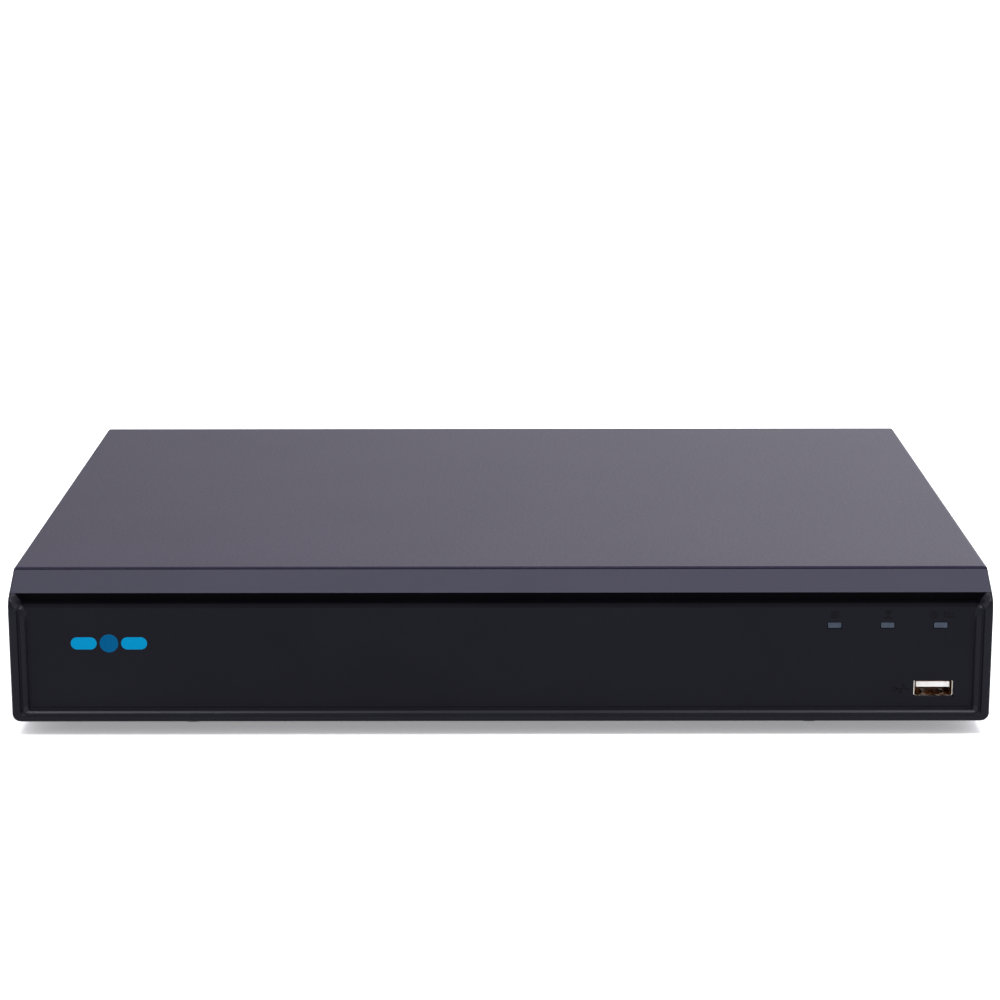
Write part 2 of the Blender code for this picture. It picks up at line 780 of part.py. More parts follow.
def cover_screws():
    """Four flush screws on the sides, two pan heads at the rear and the earth screw."""
    length = SCREW_LENGTH
    shank = SCREW_SHANK
    flush = [
        (0, 0),
        (SINK_RADIUS, 0),
        (shank, -SINK_DEPTH),
        (shank, -length),
        (0, -length),
    ]
    side = turned("cover_screw_left_front", flush, zinc_steel(), steps=18)
    cut(side, *cross_recess("flush_cross", 0, 1.7 * MM, 0.8 * MM, 0.7 * MM))
    side = settled(side)
    round_shading(side.data)
    names = ["left_front", "left_rear", "right_front", "right_rear"]
    for index, (sign, y) in enumerate(SIDE_SCREWS):
        location = (sign * COVER_WIDTH / 2, y, SIDE_SCREW_Z)
        rotation = (0, sign * pi / 2, 0)
        if index == 0:
            side.location = location
            side.rotation_euler = rotation
        else:
            from_mesh_of(side, f"cover_screw_{names[index]}", location, rotation)

    head_radius = 2.8 * MM
    pan = [
        (0, 1.8 * MM),
        (1.4 * MM, 1.65 * MM),
        (2.4 * MM, 1.1 * MM),
        (head_radius, 0.4 * MM),
        (head_radius, 0),
        (shank, 0),
        (shank, -length),
        (0, -length),
    ]
    rear = turned("rear_screw_left", pan, zinc_steel(), steps=18)
    cut(rear, *cross_recess("pan_cross", 1.8 * MM, 1.6 * MM, 0.9 * MM, 0.7 * MM))
    rear = settled(rear)
    round_shading(rear.data)
    turn = (-pi / 2, 0, 0)
    seat = COVER_REAR + GAP
    rear.location = (-REAR_SCREW_X, seat, REAR_SCREW_Z)
    rear.rotation_euler = turn
    from_mesh_of(rear, "rear_screw_right", (REAR_SCREW_X, seat, REAR_SCREW_Z), turn)
    from_mesh_of(rear, "ground_screw", (GROUND[0], PANEL_FACE + GAP, GROUND[1]), turn)


# ---------------------------------------------------------------- front unit


def light_guides():
    """Three clear bars from the windows back and down to the diodes on the front board."""
    width, height = WINDOW_SIZE
    front = FRONT + PANEL_DEPTH
    back = FRONT + 26 * MM
    top = WINDOW_Z + height / 2
    bottom = WINDOW_Z - height / 2
    foot = FRONT_BOARD_HIGH.z + 2 * MM
    outline = [
        (front, bottom),
        (back - height - 1 * MM, bottom),
        (back - height, bottom - 1 * MM),
        (back - height, foot),
        (back, foot),
        (back, top - 2 * MM),
        (back - 2 * MM, top),
        (front, top),
    ]
    for index, x in enumerate(window_places(), start=1):
        prism(f"light_guide_{index}", outline, x - width / 2, x + width / 2, "X", window_plastic())


def usb_shell(name, middle_x, front_y, bottom_z, facing):
    """Folded socket shell, open at the front, with its rear wall closed."""
    half = USB_SHELL.x / 2
    rear_y = front_y - facing * USB_SHELL.y
    low_y, high_y = sorted((front_y, rear_y))
    shell = box(
        name,
        (middle_x - half, low_y, bottom_z),
        (middle_x + half, high_y, bottom_z + USB_SHELL.z),
        nickel(),
    )
    inner = half - USB_WALL
    hollow_low, hollow_high = sorted((front_y + facing * MM, rear_y + facing * USB_WALL))
    cut(
        shell,
        box(
            f"{name}_hollow",
            (middle_x - inner, hollow_low, bottom_z + USB_WALL),
            (middle_x + inner, hollow_high, bottom_z + USB_SHELL.z - USB_WALL),
            cutter=True,
        ),
    )
    return shell


def usb_tongue(name, middle_x, front_y, bottom_z, facing, material):
    """Moulded insulator: a block at the rear of the shell with the contact tongue before it."""
    rear_y = front_y - facing * (USB_SHELL.y - USB_WALL - 0.2 * MM)
    block_y = rear_y + facing * 3 * MM
    tongue_y = front_y - facing * 1.2 * MM
    low_z = bottom_z + USB_WALL + 0.15 * MM
    top_z = bottom_z + USB_SHELL.z - USB_WALL - 0.15 * MM
    tongue_top = top_z - 0.5 * MM
    tongue_bottom = tongue_top - 1.84 * MM
    outline = [
        (rear_y, low_z),
        (block_y, low_z),
        (block_y, tongue_bottom),
        (tongue_y, tongue_bottom),
        (tongue_y, tongue_top),
        (block_y, tongue_top),
        (block_y, top_z),
        (rear_y, top_z),
    ]
    half = 5.55 * MM
    return prism(name, outline, middle_x - half, middle_x + half, "X", material)


def front_unit():
    """Front board, its socket, and the flat cable to the main board."""
    box("front_board", FRONT_BOARD_LOW, FRONT_BOARD_HIGH, circuit_board())
    bottom = front_usb_bottom()
    mouth = FRONT + PANEL_DEPTH + FRONT_USB_SET_BACK
    usb_shell("front_usb_shell", FRONT_USB_X, mouth, bottom, -1)
    usb_tongue("front_usb_tongue", FRONT_USB_X, mouth, bottom, -1, white_plastic())

    half = 7 * MM
    start_y = FRONT_BOARD_HIGH.y + 0.4 * MM
    end_y = BOARD_LOW.y + 8 * MM
    profile = [
        (start_y - 8 * MM, FRONT_BOARD_HIGH.z + 0.6 * MM),
        (start_y, FRONT_BOARD_HIGH.z + 0.6 * MM),
        (start_y + 8 * MM, 20 * MM),
        (start_y + 20 * MM, 24 * MM),
        (end_y - 34 * MM, 24 * MM),
        (end_y - 20 * MM, 21 * MM),
        (end_y - 9 * MM, BOARD_TOP + 0.6 * MM),
        (end_y, BOARD_TOP + 0.6 * MM),
    ]
    shape = bmesh.new()
    middle = FRONT_BOARD_LOW.x + half + 3 * MM
    line = [shape.verts.new((middle - half, y, z)) for y, z in profile]
    edges = [shape.edges.new(pair) for pair in zip(line, line[1:])]
    swept = bmesh.ops.extrude_edge_only(shape, edges=edges)["geom"]
    moved = [item for item in swept if isinstance(item, bmesh.types.BMVert)]
    bmesh.ops.translate(shape, verts=moved, vec=(2 * half, 0, 0))
    mesh = bpy.data.meshes.new("front_ribbon_cable")
    shape.to_mesh(mesh)
    shape.free()
    cable = link("front_ribbon_cable", mesh, white_plastic())
    thickness = cable.modifiers.new("thickness", "SOLIDIFY")
    thickness.thickness = 0.6 * MM
    thickness.offset = 0


# ---------------------------------------------------------------- main board


def main_board():
    """Main board with clearance holes over the tray's posts."""
    board = box("main_board", BOARD_LOW, BOARD_HIGH, circuit_board())
    axes = [((x, y, BOARD_BOTTOM - MM), (x, y, BOARD_TOP + MM)) for x, y in STANDOFFS]
    cut(board, rods("board_holes", axes, SCREW_HOLE, cutter=True, segments=12))


def processor():
    """Video processor with its finned cooler on top."""
    low = CHIP_MIDDLE + Vector((-CHIP_HALF, -CHIP_HALF, SOCKET_BOTTOM))
    high = CHIP_MIDDLE + Vector((CHIP_HALF, CHIP_HALF, SOCKET_BOTTOM + CHIP_HEIGHT))
    box("processor_chip", low, high, moulded_black())

    fins = 9
    half = 20 * MM
    base = high.z + GAP
    base_top = base + 3 * MM
    fin_top = base + 16 * MM
    fin_width = 1.4 * MM
    pitch = (2 * half - fin_width) / (fins - 1)
    left = CHIP_MIDDLE.x - half
    outline = [(left, base), (left + 2 * half, base)]
    for i in reversed(range(fins)):
        fin_left = left + i * pitch
        fin_right = fin_left + fin_width
        if i < fins - 1:
            outline.append((fin_right, base_top))
        outline += [(fin_right, fin_top), (fin_left, fin_top)]
        if i > 0:
            outline.append((fin_left, base_top))
    prism("heatsink", outline, CHIP_MIDDLE.y - half, CHIP_MIDDLE.y + half, "Y", black_aluminium())


def small_components():
    """Clock cell and alarm sounder on the main board."""
    cell = [
        (0, 3.2 * MM),
        (9.4 * MM, 3.2 * MM),
        (10 * MM, 2.8 * MM),
        (10 * MM, 0.5 * MM),
        (8.6 * MM, 0),
        (0, 0),
    ]
    coin = turned("coin_cell", cell, nickel(), steps=24)
    coin.location = (-62 * MM, 30 * MM, SOCKET_BOTTOM)
    can = [
        (0, 8.5 * MM),
        (1 * MM, 8.5 * MM),
        (1 * MM, 9.5 * MM),
        (5.4 * MM, 9.5 * MM),
        (6 * MM, 8.9 * MM),
        (6 * MM, 0),
        (0, 0),
    ]
    sounder = turned("buzzer", can, moulded_black(), steps=24)
    sounder.location = (-92 * MM, 34 * MM, SOCKET_BOTTOM)


# ---------------------------------------------------------------- rear sockets


def bnc_places():
    """Middle of each video jack as (x, z), row by row from the top, left to right from behind."""
    places = []
    for row in reversed(range(BNC_ROWS)):
        for column in reversed(range(BNC_COLUMNS)):
            places.append((BNC_FIRST_X + column * BNC_PITCH, BNC_LOW_Z + row * BNC_ROW_PITCH))
    return places


def audio_places():
    """Middle of the lower and the upper phono jack as (x, z)."""
    return [(AUDIO.x, AUDIO.z + side * AUDIO_PITCH / 2) for side in (-1, 1)]


def jackscrew_places():
    """Middle of the two jackscrews beside the VGA socket as (x, z)."""
    return [(VGA.x + side * JACKSCREW_OFFSET, VGA.z) for side in (-1, 1)]


def video_jacks():
    """Eight bayonet jacks in a moulded carrier behind the rear panel."""
    margin = 7.6 * MM
    places = bnc_places()
    low_x = min(x for x, _ in places) - margin
    high_x = max(x for x, _ in places) + margin
    back = PANEL_FACE - SHEET - GAP
    face = back - 0.7 * MM
    housing = box(
        "bnc_housing",
        (low_x, back - 14 * MM, SOCKET_BOTTOM),
        (high_x, face, BNC_LOW_Z + BNC_ROW_PITCH + margin),
        moulded_black(),
    )
    seats = [((x, face - 4 * MM, z), (x, face + MM, z)) for x, z in places]
    cut(housing, rods("bnc_seats", seats, BNC_BARREL + GAP, cutter=True, segments=20))

    barrel = BNC_BARREL
    bore = 4.05 * MM
    pin = 1.1 * MM
    seat = face - 3.5 * MM
    length = REAR - seat
    shoulder = PANEL_FACE + 1.8 * MM - seat
    flange = BNC_HOLE - GAP
    profile = [
        (0, length - 3.4 * MM),
        (pin, length - 3.4 * MM),
        (pin, length - 9 * MM),
        (bore, length - 9 * MM),
        (bore, length),
        (barrel - 0.3 * MM, length),
        (barrel, length - 0.4 * MM),
        (barrel, shoulder),
        (flange, shoulder),
        (flange, face + 0.4 * MM - seat),
        (barrel, face + 0.4 * MM - seat),
        (barrel, 0),
        (0, 0),
    ]
    jack = turned("bnc_jack_1", profile, nickel(), steps=20)
    lug_height = length - 4.2 * MM
    lugs = [
        ((side * (barrel - 0.4 * MM), 0, lug_height), (side * (barrel + 0.95 * MM), 0, lug_height))
        for side in (-1, 1)
    ]
    add(jack, rods("bnc_lugs", lugs, 1.0 * MM, cutter=True, segments=10))
    jack = settled(jack)
    round_shading(jack.data)
    turn = (-pi / 2, 0, 0)
    for index, (x, z) in enumerate(places, start=1):
        if index == 1:
            jack.location = (x, seat, z)
            jack.rotation_euler = turn
        else:
            from_mesh_of(jack, f"bnc_jack_{index}", (x, seat, z), turn)


def audio_sockets():
    """Stacked block with two phono jacks."""
    back = PANEL_FACE - SHEET - GAP
    block = box(
        "audio_jack_block",
        (AUDIO.x - AUDIO.width / 2, back - 13 * MM, SOCKET_BOTTOM),
        (AUDIO.x + AUDIO.width / 2, back, SOCKET_BOTTOM + AUDIO.height),
        moulded_black(),
    )
    seats = [((x, back - 3 * MM, z), (x, back + MM, z)) for x, z in audio_places()]
    cut(block, rods("audio_seats", seats, PHONO_RADIUS + GAP, cutter=True, segments=16))
    radius = PHONO_RADIUS
    bore = 1.75 * MM
    length = 12.6 * MM
    profile = [
        (0, length - 8 * MM),
        (bore, length - 8 * MM),
        (bore, length),
        (radius - 0.3 * MM, length),
        (radius, length - 0.3 * MM),
        (radius, 0),
        (0, 0),
    ]
    seat = back - 2.7 * MM
    turn = (-pi / 2, 0, 0)
    for name, material, (x, z) in zip(
        ("audio_out_jack", "audio_in_jack"), (red_plastic(), white_plastic()), audio_places()
    ):
        jack = turned(name, profile, material, steps=20)
        jack.location = (x, seat, z)
        jack.rotation_euler = turn


def hdmi_socket():
    """HDMI shell with its bevelled lower corners, and the contact tongue inside."""
    depth = 11 * MM
    mouth = PANEL_FACE + SOCKET_PROUD
    half = HDMI.width / 2
    low = HDMI.z - HDMI.height / 2
    high = HDMI.z + HDMI.height / 2
    chamfer = 1.9 * MM

    def outline(inset):
        slant = chamfer - inset * 0.4
        return [
            (HDMI.x - half + inset, high - inset),
            (HDMI.x - half + inset, low + inset + slant),
            (HDMI.x - half + inset + slant, low + inset),
            (HDMI.x + half - inset - slant, low + inset),
            (HDMI.x + half - inset, low + inset + slant),
            (HDMI.x + half - inset, high - inset),
        ]

    wall = 0.4 * MM
    shell = prism("hdmi_shell", outline(0), mouth - depth, mouth, "Y", nickel())
    hollow = prism("hdmi_hollow", outline(wall), mouth - depth + wall, mouth + MM, "Y", cutter=True)
    cut(shell, hollow)
    back = mouth - depth + wall + 0.2 * MM
    tongue_z = HDMI.z + 0.4 * MM
    tongue = [
        (back, tongue_z - 1.5 * MM),
        (back + 2 * MM, tongue_z - 1.5 * MM),
        (back + 2 * MM, tongue_z - 0.6 * MM),
        (mouth - 1.5 * MM, tongue_z - 0.6 * MM),
        (mouth - 1.5 * MM, tongue_z + 0.6 * MM),
        (back + 2 * MM, tongue_z + 0.6 * MM),
        (back + 2 * MM, tongue_z + 1.5 * MM),
        (back, tongue_z + 1.5 * MM),
    ]
    reach = 5.2 * MM
    prism("hdmi_tongue", tongue, HDMI.x - reach, HDMI.x + reach, "X", moulded_black())


def rear_usb_socket():
    """Rear USB socket: shell and tongue."""
    mouth = PANEL_FACE + SOCKET_PROUD
    bottom = SOCKET_BOTTOM
    usb_shell("rear_usb_shell", REAR_USB.x, mouth, bottom, 1)
    usb_tongue("rear_usb_tongue", REAR_USB.x, mouth, bottom, 1, moulded_black())


def network_socket():
    """Shielded network jack with the stepped opening of its plug."""
    mouth = PANEL_FACE + SOCKET_PROUD
    depth = 21 * MM
    half = NETWORK.width / 2
    low = NETWORK.z - NETWORK.height / 2
    jack = box(
        "network_jack",
        (NETWORK.x - half, mouth - depth, low),
        (NETWORK.x + half, mouth, low + NETWORK.height),
        nickel(),
    )
    steps = [
        (6.0 * MM, 4.0 * MM, 11.4 * MM),
        (3.3 * MM, 2.6 * MM, 4.5 * MM),
        (1.9 * MM, 1.4 * MM, 3.0 * MM),
    ]
    for index, (reach, bottom, top) in enumerate(steps):
        inner = (NETWORK.x - reach, mouth - 12.5 * MM, low + bottom)
        outer = (NETWORK.x + reach, mouth + MM, low + top)
        cut(jack, box(f"network_opening_{index}", inner, outer, cutter=True))


def trapezoid(middle, half_width, half_height, slant):
    """A D-shaped connector outline as (x, z), wider at the top."""
    x, z = middle
    return [
        (x - half_width, z + half_height),
        (x - half_width + slant, z - half_height),
        (x + half_width - slant, z - half_height),
        (x + half_width, z + half_height),
    ]


def vga_socket():
    """Flanged D-shaped shell, its insulator with fifteen contact holes, and two jackscrews."""
    middle = (VGA.x, VGA.z)
    face = PANEL_FACE - SHEET - GAP
    nose = PANEL_FACE + 5 * MM
    half_width = VGA.width / 2
    half_height = VGA.height / 2
    slant = 1.4 * MM
    wall = 0.5 * MM
    shell = prism(
        "vga_shell",
        trapezoid(middle, half_width, half_height, slant),
        face - 2.5 * MM, nose, "Y", nickel(),
    )
    plate_low = (VGA.x - 15.4 * MM, face - 1.2 * MM, VGA.z - 6.2 * MM)
    plate_high = (VGA.x + 15.4 * MM, face, VGA.z + 6.2 * MM)
    add(shell, box("vga_plate", plate_low, plate_high, cutter=True))
    inner = trapezoid(middle, half_width - wall, half_height - wall, slant)
    cut(shell, prism("vga_hollow", inner, face - 3 * MM, nose + MM, "Y", cutter=True))
    holes = rear_axes(jackscrew_places())
    cut(shell, rods("vga_plate_holes", holes, JACKSCREW_HOLE, cutter=True, segments=12))

    gap = wall + 0.2 * MM
    core = trapezoid(middle, half_width - gap, half_height - gap, slant)
    insulator = prism("vga_insulator", core, face - 9 * MM, nose - 0.5 * MM, "Y", blue_plastic())
    pitch = 2.3 * MM
    row_pitch = 2.0 * MM
    pins = []
    for row in (-1, 0, 1):
        shift = 0.5 * pitch * (row % 2)
        for column in range(-2, 3):
            x = VGA.x + column * pitch + shift - pitch / 4
            z = VGA.z + row * row_pitch
            pins.append(((x, nose - 5 * MM, z), (x, nose + MM, z)))
    cut(insulator, rods("vga_pins", pins, 0.55 * MM, cutter=True, segments=6))

    profile = [
        (0, 1.2 * MM),
        (1.25 * MM, 1.2 * MM),
        (1.25 * MM, 5.5 * MM),
        (2.7 * MM, 5.5 * MM),
        (2.7 * MM, 0),
        (1.5 * MM, 0),
        (1.5 * MM, -6 * MM),
        (0, -6 * MM),
    ]
    for name, (x, z) in zip(("vga_jackscrew_right", "vga_jackscrew_left"), jackscrew_places()):
        screw = turned(name, profile, nickel(), steps=6)
        screw.location = (x, PANEL_FACE + GAP, z)
        screw.rotation_euler = (-pi / 2, 0, 0)


def wire_terminals():
    """Green block with eight clamping terminals, wires from behind, screws on top."""
    count = 8
    pitch = 3.5 * MM
    nose = PANEL_FACE + 7 * MM
    low = (TERMINAL.x - TERMINAL.width / 2, PANEL_FACE - 9 * MM, TERMINAL.z - TERMINAL.height / 2)
    high = (TERMINAL.x + TERMINAL.width / 2, nose, TERMINAL.z + TERMINAL.height / 2)
    block = box("terminal_block", low, high, green_plastic())
    first = TERMINAL.x - (count - 1) * pitch / 2
    entries = []
    wells = []
    for i in range(count):
        x = first + i * pitch
        entry_low = (x - 1.15 * MM, nose - 4 * MM, low[2] + 1.4 * MM)
        entry_high = (x + 1.15 * MM, nose + MM, low[2] + 4 * MM)
        entries.append((entry_low, entry_high))
        wells.append(((x, nose - 3 * MM, high[2] - 1.8 * MM), (x, nose - 3 * MM, high[2] + MM)))
    cut(block, boxes("terminal_entries", entries, cutter=True))
    cut(block, rods("terminal_wells", wells, 1.2 * MM, cutter=True, segments=10))


def power_inlet():
    """Low-voltage inlet: square housing, round mouth and the pin in its middle."""
    mouth = PANEL_FACE + 2.6 * MM
    half = DC_INLET.width / 2
    low = DC_INLET.z - DC_INLET.height / 2
    inlet = box(
        "dc_jack",
        (DC_INLET.x - half, mouth - 14 * MM, low),
        (DC_INLET.x + half, mouth, low + DC_INLET.height),
        moulded_black(),
    )
    centre_z = low + 6.2 * MM
    start = (DC_INLET.x, mouth - 9.5 * MM, centre_z)
    end = (DC_INLET.x, mouth + MM, centre_z)
    cut(inlet, rods("inlet_bore", [(start, end)], INLET_BORE, cutter=True, segments=20))
    pin = ((DC_INLET.x, mouth - 11 * MM, centre_z), (DC_INLET.x, mouth - 0.8 * MM, centre_z))
    add(inlet, rods("inlet_pin", [pin], 1.0 * MM, cutter=True, segments=12))


def power_switch():
    """Rocker in its flanged frame. It rests with its lower end pressed in."""
    middle = Vector((SWITCH.x, ROCKER_AXIS_Y, SWITCH.z))
    body_half = Vector((SWITCH.width / 2, 0, SWITCH.height / 2))
    back = PANEL_FACE - 13 * MM
    face = PANEL_FACE + GAP
    lip = 1.7 * MM
    frame = box(
        "switch_frame",
        (middle.x - body_half.x, back, middle.z - body_half.z),
        (middle.x + body_half.x, face + lip, middle.z + body_half.z),
        moulded_black(),
    )
    border = 1.3 * MM
    flange = box(
        "switch_flange",
        (middle.x - body_half.x - border, face, middle.z - body_half.z - border),
        (middle.x + body_half.x + border, face + lip, middle.z + body_half.z + border),
        cutter=True,
    )
    add(frame, flange)
    opening_half = Vector((ROCKER_WIDTH / 2 + GAP, 0, ROCKER_RADIUS + 0.4 * MM))
    cavity = box(
        "switch_cavity",
        (middle.x - opening_half.x, middle.y - 8.2 * MM, middle.z - opening_half.z),
        (middle.x + opening_half.x, face + lip + MM, middle.z + opening_half.z),
        cutter=True,
    )
    cut(frame, cavity)

    brow = asin(6.85 * MM / ROCKER_RADIUS)
    lower = arc((0, 0), ROCKER_RADIUS, -brow, -radians(100), 6)
    upper = arc((0, 0), ROCKER_RADIUS, radians(100), brow, 6)
    outline = [(3.4 * MM, 0), *lower, (-6 * MM, -3 * MM), (-6 * MM, 3 * MM), *upper]
    half = ROCKER_WIDTH / 2
    rocker = prism("power_rocker", outline, -half, half, "X", moulded_black())
    bevel(rocker, 0.25 * MM)
    rocker.location = middle
    rocker.rotation_euler = (-ROCKER_TILT, 0, 0)


# ---------------------------------------------------------------- disk drive


def drive_case():
    """Cast base with the chamber for platter and arm, lid above and circuit board below."""
    low = DRIVE_LOW
    size = DRIVE_SIZE
    base_top = low.z + size.z - DRIVE_LID - GAP
    base = box("hdd_base", low, (low.x + size.x, low.y + size.y, base_top), cast_aluminium())
    chamber_floor = low.z + 7.7 * MM
    well = [((SPINDLE.x, SPINDLE.y, chamber_floor), (SPINDLE.x, SPINDLE.y, HEIGHT))]
    cut(base, rods("platter_well", well, PLATTER_RADIUS + 1.2 * MM, cutter=True, segments=40))
    wall = 4 * MM
    arm_low = (low.x + 78 * MM, low.y + wall, chamber_floor)
    arm_high = (low.x + size.x - wall, low.y + size.y - wall, HEIGHT)
    cut(base, box("arm_well", arm_low, arm_high, cutter=True))
    pocket_low = (low.x + 36 * MM, low.y + 8 * MM, low.z - MM)
    pocket_high = (low.x + size.x + MM, low.y + size.y - 8 * MM, low.z + 3.2 * MM)
    cut(base, box("board_pocket", pocket_low, pocket_high, cutter=True))
    threads = [
        ((low.x + x, low.y + y, low.z - MM), (low.x + x, low.y + y, low.z + 5 * MM))
        for x, y in DRIVE_BOSSES
    ]
    cut(base, rods("drive_threads", threads, 1.4 * MM, cutter=True, segments=8))

    lid_low = (low.x + 2 * MM, low.y + 2 * MM, base_top + GAP)
    lid_high = (low.x + size.x - 2 * MM, low.y + size.y - 2 * MM, low.z + size.z)
    lid_outline = rounded_rectangle(lid_low[:2], lid_high[:2], 4 * MM)
    prism("hdd_lid", lid_outline, lid_low[2], lid_high[2], "Z", zinc_steel())

    board_low = (low.x + 38 * MM, low.y + 10 * MM, low.z + 0.6 * MM)
    board_high = (low.x + size.x + 0.5 * MM, low.y + size.y - 10 * MM, low.z + 2.2 * MM)
    box("hdd_board", board_low, board_high, circuit_board())


def drive_motion():
    """Platter on its spindle hub, and the head arm on its pivot."""
    floor = DRIVE_LOW.z + 8.2 * MM
    disk = 27 * MM
    hub = 12.5 * MM
    thickness = 1.27 * MM
    profile = [
        (0, disk + 3 * MM),
        (hub - 1 * MM, disk + 3 * MM),
        (hub, disk + 2 * MM),
        (hub, disk + thickness),
        (PLATTER_RADIUS, disk + thickness),
        (PLATTER_RADIUS, disk),
        (hub, disk),
        (hub, floor),
        (0, floor),
    ]
    platter = turned("hdd_platter", profile, nickel(), steps=48)
    platter.location = (SPINDLE.x, SPINDLE.y, 0)

    arm_low = disk + thickness + 0.8 * MM
    arm_high = arm_low + 1.2 * MM
    outline = [(0, -7 * MM), (12 * MM, -6.4 * MM), (ARM_LENGTH - 8 * MM, -2.6 * MM)]
    outline += arc((ARM_LENGTH - 2 * MM, 0), 2 * MM, -pi / 2, pi / 2, 5)
    outline += [(ARM_LENGTH - 8 * MM, 2.6 * MM), (12 * MM, 6.4 * MM), (0, 7 * MM)]
    outline += [(-10 * MM, 8 * MM), (-21 * MM, 10 * MM)]
    outline += arc((0, 0), 25 * MM, radians(158), radians(202), 5)
    outline += [(-21 * MM, -10 * MM), (-10 * MM, -8 * MM)]
    arm = prism("hdd_actuator", outline, arm_low, arm_high, "Z", cast_aluminium())
    bearing = rods("pivot_bearing", [((0, 0, floor), (0, 0, arm_high + 1.5 * MM))], 6.2 * MM, cutter=True)
    add(arm, bearing)
    arm.location = (PIVOT.x, PIVOT.y, 0)
    arm.rotation_euler = (0, 0, ARM_PARK_ANGLE)
    bearing.location = arm.location


def smooth_route(points, count):
    """Points along a Catmull-Rom curve through the given points, ends included."""
    padded = [points[0], *points, points[-1]]
    route = []
    for index in range(len(points) - 1):
        a, b, c, d = (Vector(p) for p in padded[index:index + 4])
        for step in range(count):
            t = step / count
            route.append(
                b
                + 0.5 * t * (c - a)
                + t * t * (a - 2.5 * b + 2 * c - 0.5 * d)
                + t * t * t * (1.5 * b - 0.5 * a - 1.5 * c + 0.5 * d)
            )
    route.append(Vector(points[-1]))
    return route


def lead(name, points, radius, plugs, material):
    """A round lead along a smooth route, with a moulded plug at each end."""
    curve = bpy.data.curves.new(name, "CURVE")
    curve.dimensions = "3D"
    curve.bevel_depth = radius
    curve.bevel_resolution = 1
    curve.use_fill_caps = True
    spline = curve.splines.new("POLY")
    route = smooth_route(points, 4)
    spline.points.add(len(route) - 1)
    for point, place in zip(spline.points, route):
        point.co = (*place, 1)
    cable = meshed(bpy.data.objects.new(name, curve), material)
    for index, (low, high) in enumerate(plugs):
        add(cable, box(f"{name}_plug_{index}", low, high, cutter=True))
    return cable


def drive_leads():
    """Data and power leads from the drive's end to the main board."""
    end_x = DRIVE_LOW.x + DRIVE_SIZE.x + 1 * MM
    plug_z = DRIVE_LOW.z + 4.2 * MM
    header_z = SOCKET_BOTTOM
    data_y = DRIVE_LOW.y + 66 * MM
    data_x = 24 * MM
    header_y = BOARD_LOW.y + 9 * MM
    plug_half = 4 * MM
    data_plugs = [
        ((end_x, data_y - 8 * MM, plug_z), (end_x + 11 * MM, data_y + 8 * MM, plug_z + 5 * MM)),
        (
            (data_x - 8 * MM, header_y - 3 * MM, header_z),
            (data_x + 8 * MM, header_y + 3 * MM, header_z + 9 * MM),
        ),
    ]
    data_route = [
        (end_x + 9 * MM, data_y, plug_z + 2.5 * MM),
        (end_x + 16 * MM, data_y + 1 * MM, plug_z + 4 * MM),
        (data_x - 1 * MM, data_y + 10 * MM, 26 * MM),
        (data_x, header_y - 10 * MM, 35 * MM),
        (data_x, header_y - 1 * MM, 31 * MM),
        (data_x, header_y, header_z + 7 * MM),
    ]
    lead("sata_data_cable", data_route, 2.0 * MM, data_plugs, red_plastic())

    power_y = DRIVE_LOW.y + 34 * MM
    power_x = 52 * MM
    power_plugs = [
        ((end_x, power_y - 12 * MM, plug_z), (end_x + 11 * MM, power_y + 12 * MM, plug_z + 5 * MM)),
        (
            (power_x - plug_half, header_y - 3 * MM, header_z),
            (power_x + plug_half, header_y + 3 * MM, header_z + 8 * MM),
        ),
    ]
    power_route = [
        (end_x + 9 * MM, power_y, plug_z + 2.5 * MM),
        (end_x + 17 * MM, power_y + 1 * MM, plug_z + 4 * MM),
        (power_x - 10 * MM, power_y + 14 * MM, 21 * MM),
        (power_x, header_y - 22 * MM, 28 * MM),
        (power_x, header_y - 1 * MM, 28 * MM),
        (power_x, header_y, header_z + 6 * MM),
    ]
    lead("sata_power_cable", power_route, 2.4 * MM, power_plugs, moulded_black())


def build():
    """Make every piece of the recorder."""
    clear_scene()
    bottom_tray()
    end_plates()
    top_cover()
    front_bezel()
    feet()
    cover_screws()
    light_guides()
    front_unit()
    main_board()
    processor()
    small_components()
    video_jacks()
    audio_sockets()
    hdmi_socket()
    rear_usb_socket()
    network_socket()
    vga_socket()
    wire_terminals()
    power_inlet()
    power_switch()
    drive_case()
    drive_motion()
    drive_leads()


build()
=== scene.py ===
"""Looks of a compact eight-channel video recorder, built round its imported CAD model.

The CAD nodes keep their shape and place. Pieces that need finer shape are worked out here as
surfaces and stand for their node. Sizes in the classes are millimetres in the row frame:
x to the right of someone facing the front, y towards the rear, z up from the feet.
"""

import logging
from dataclasses import dataclass, field
from enum import Enum
from math import atan2, ceil, pi, radians

import bmesh
import bpy
import numpy as np
from mathutils import Matrix, Vector

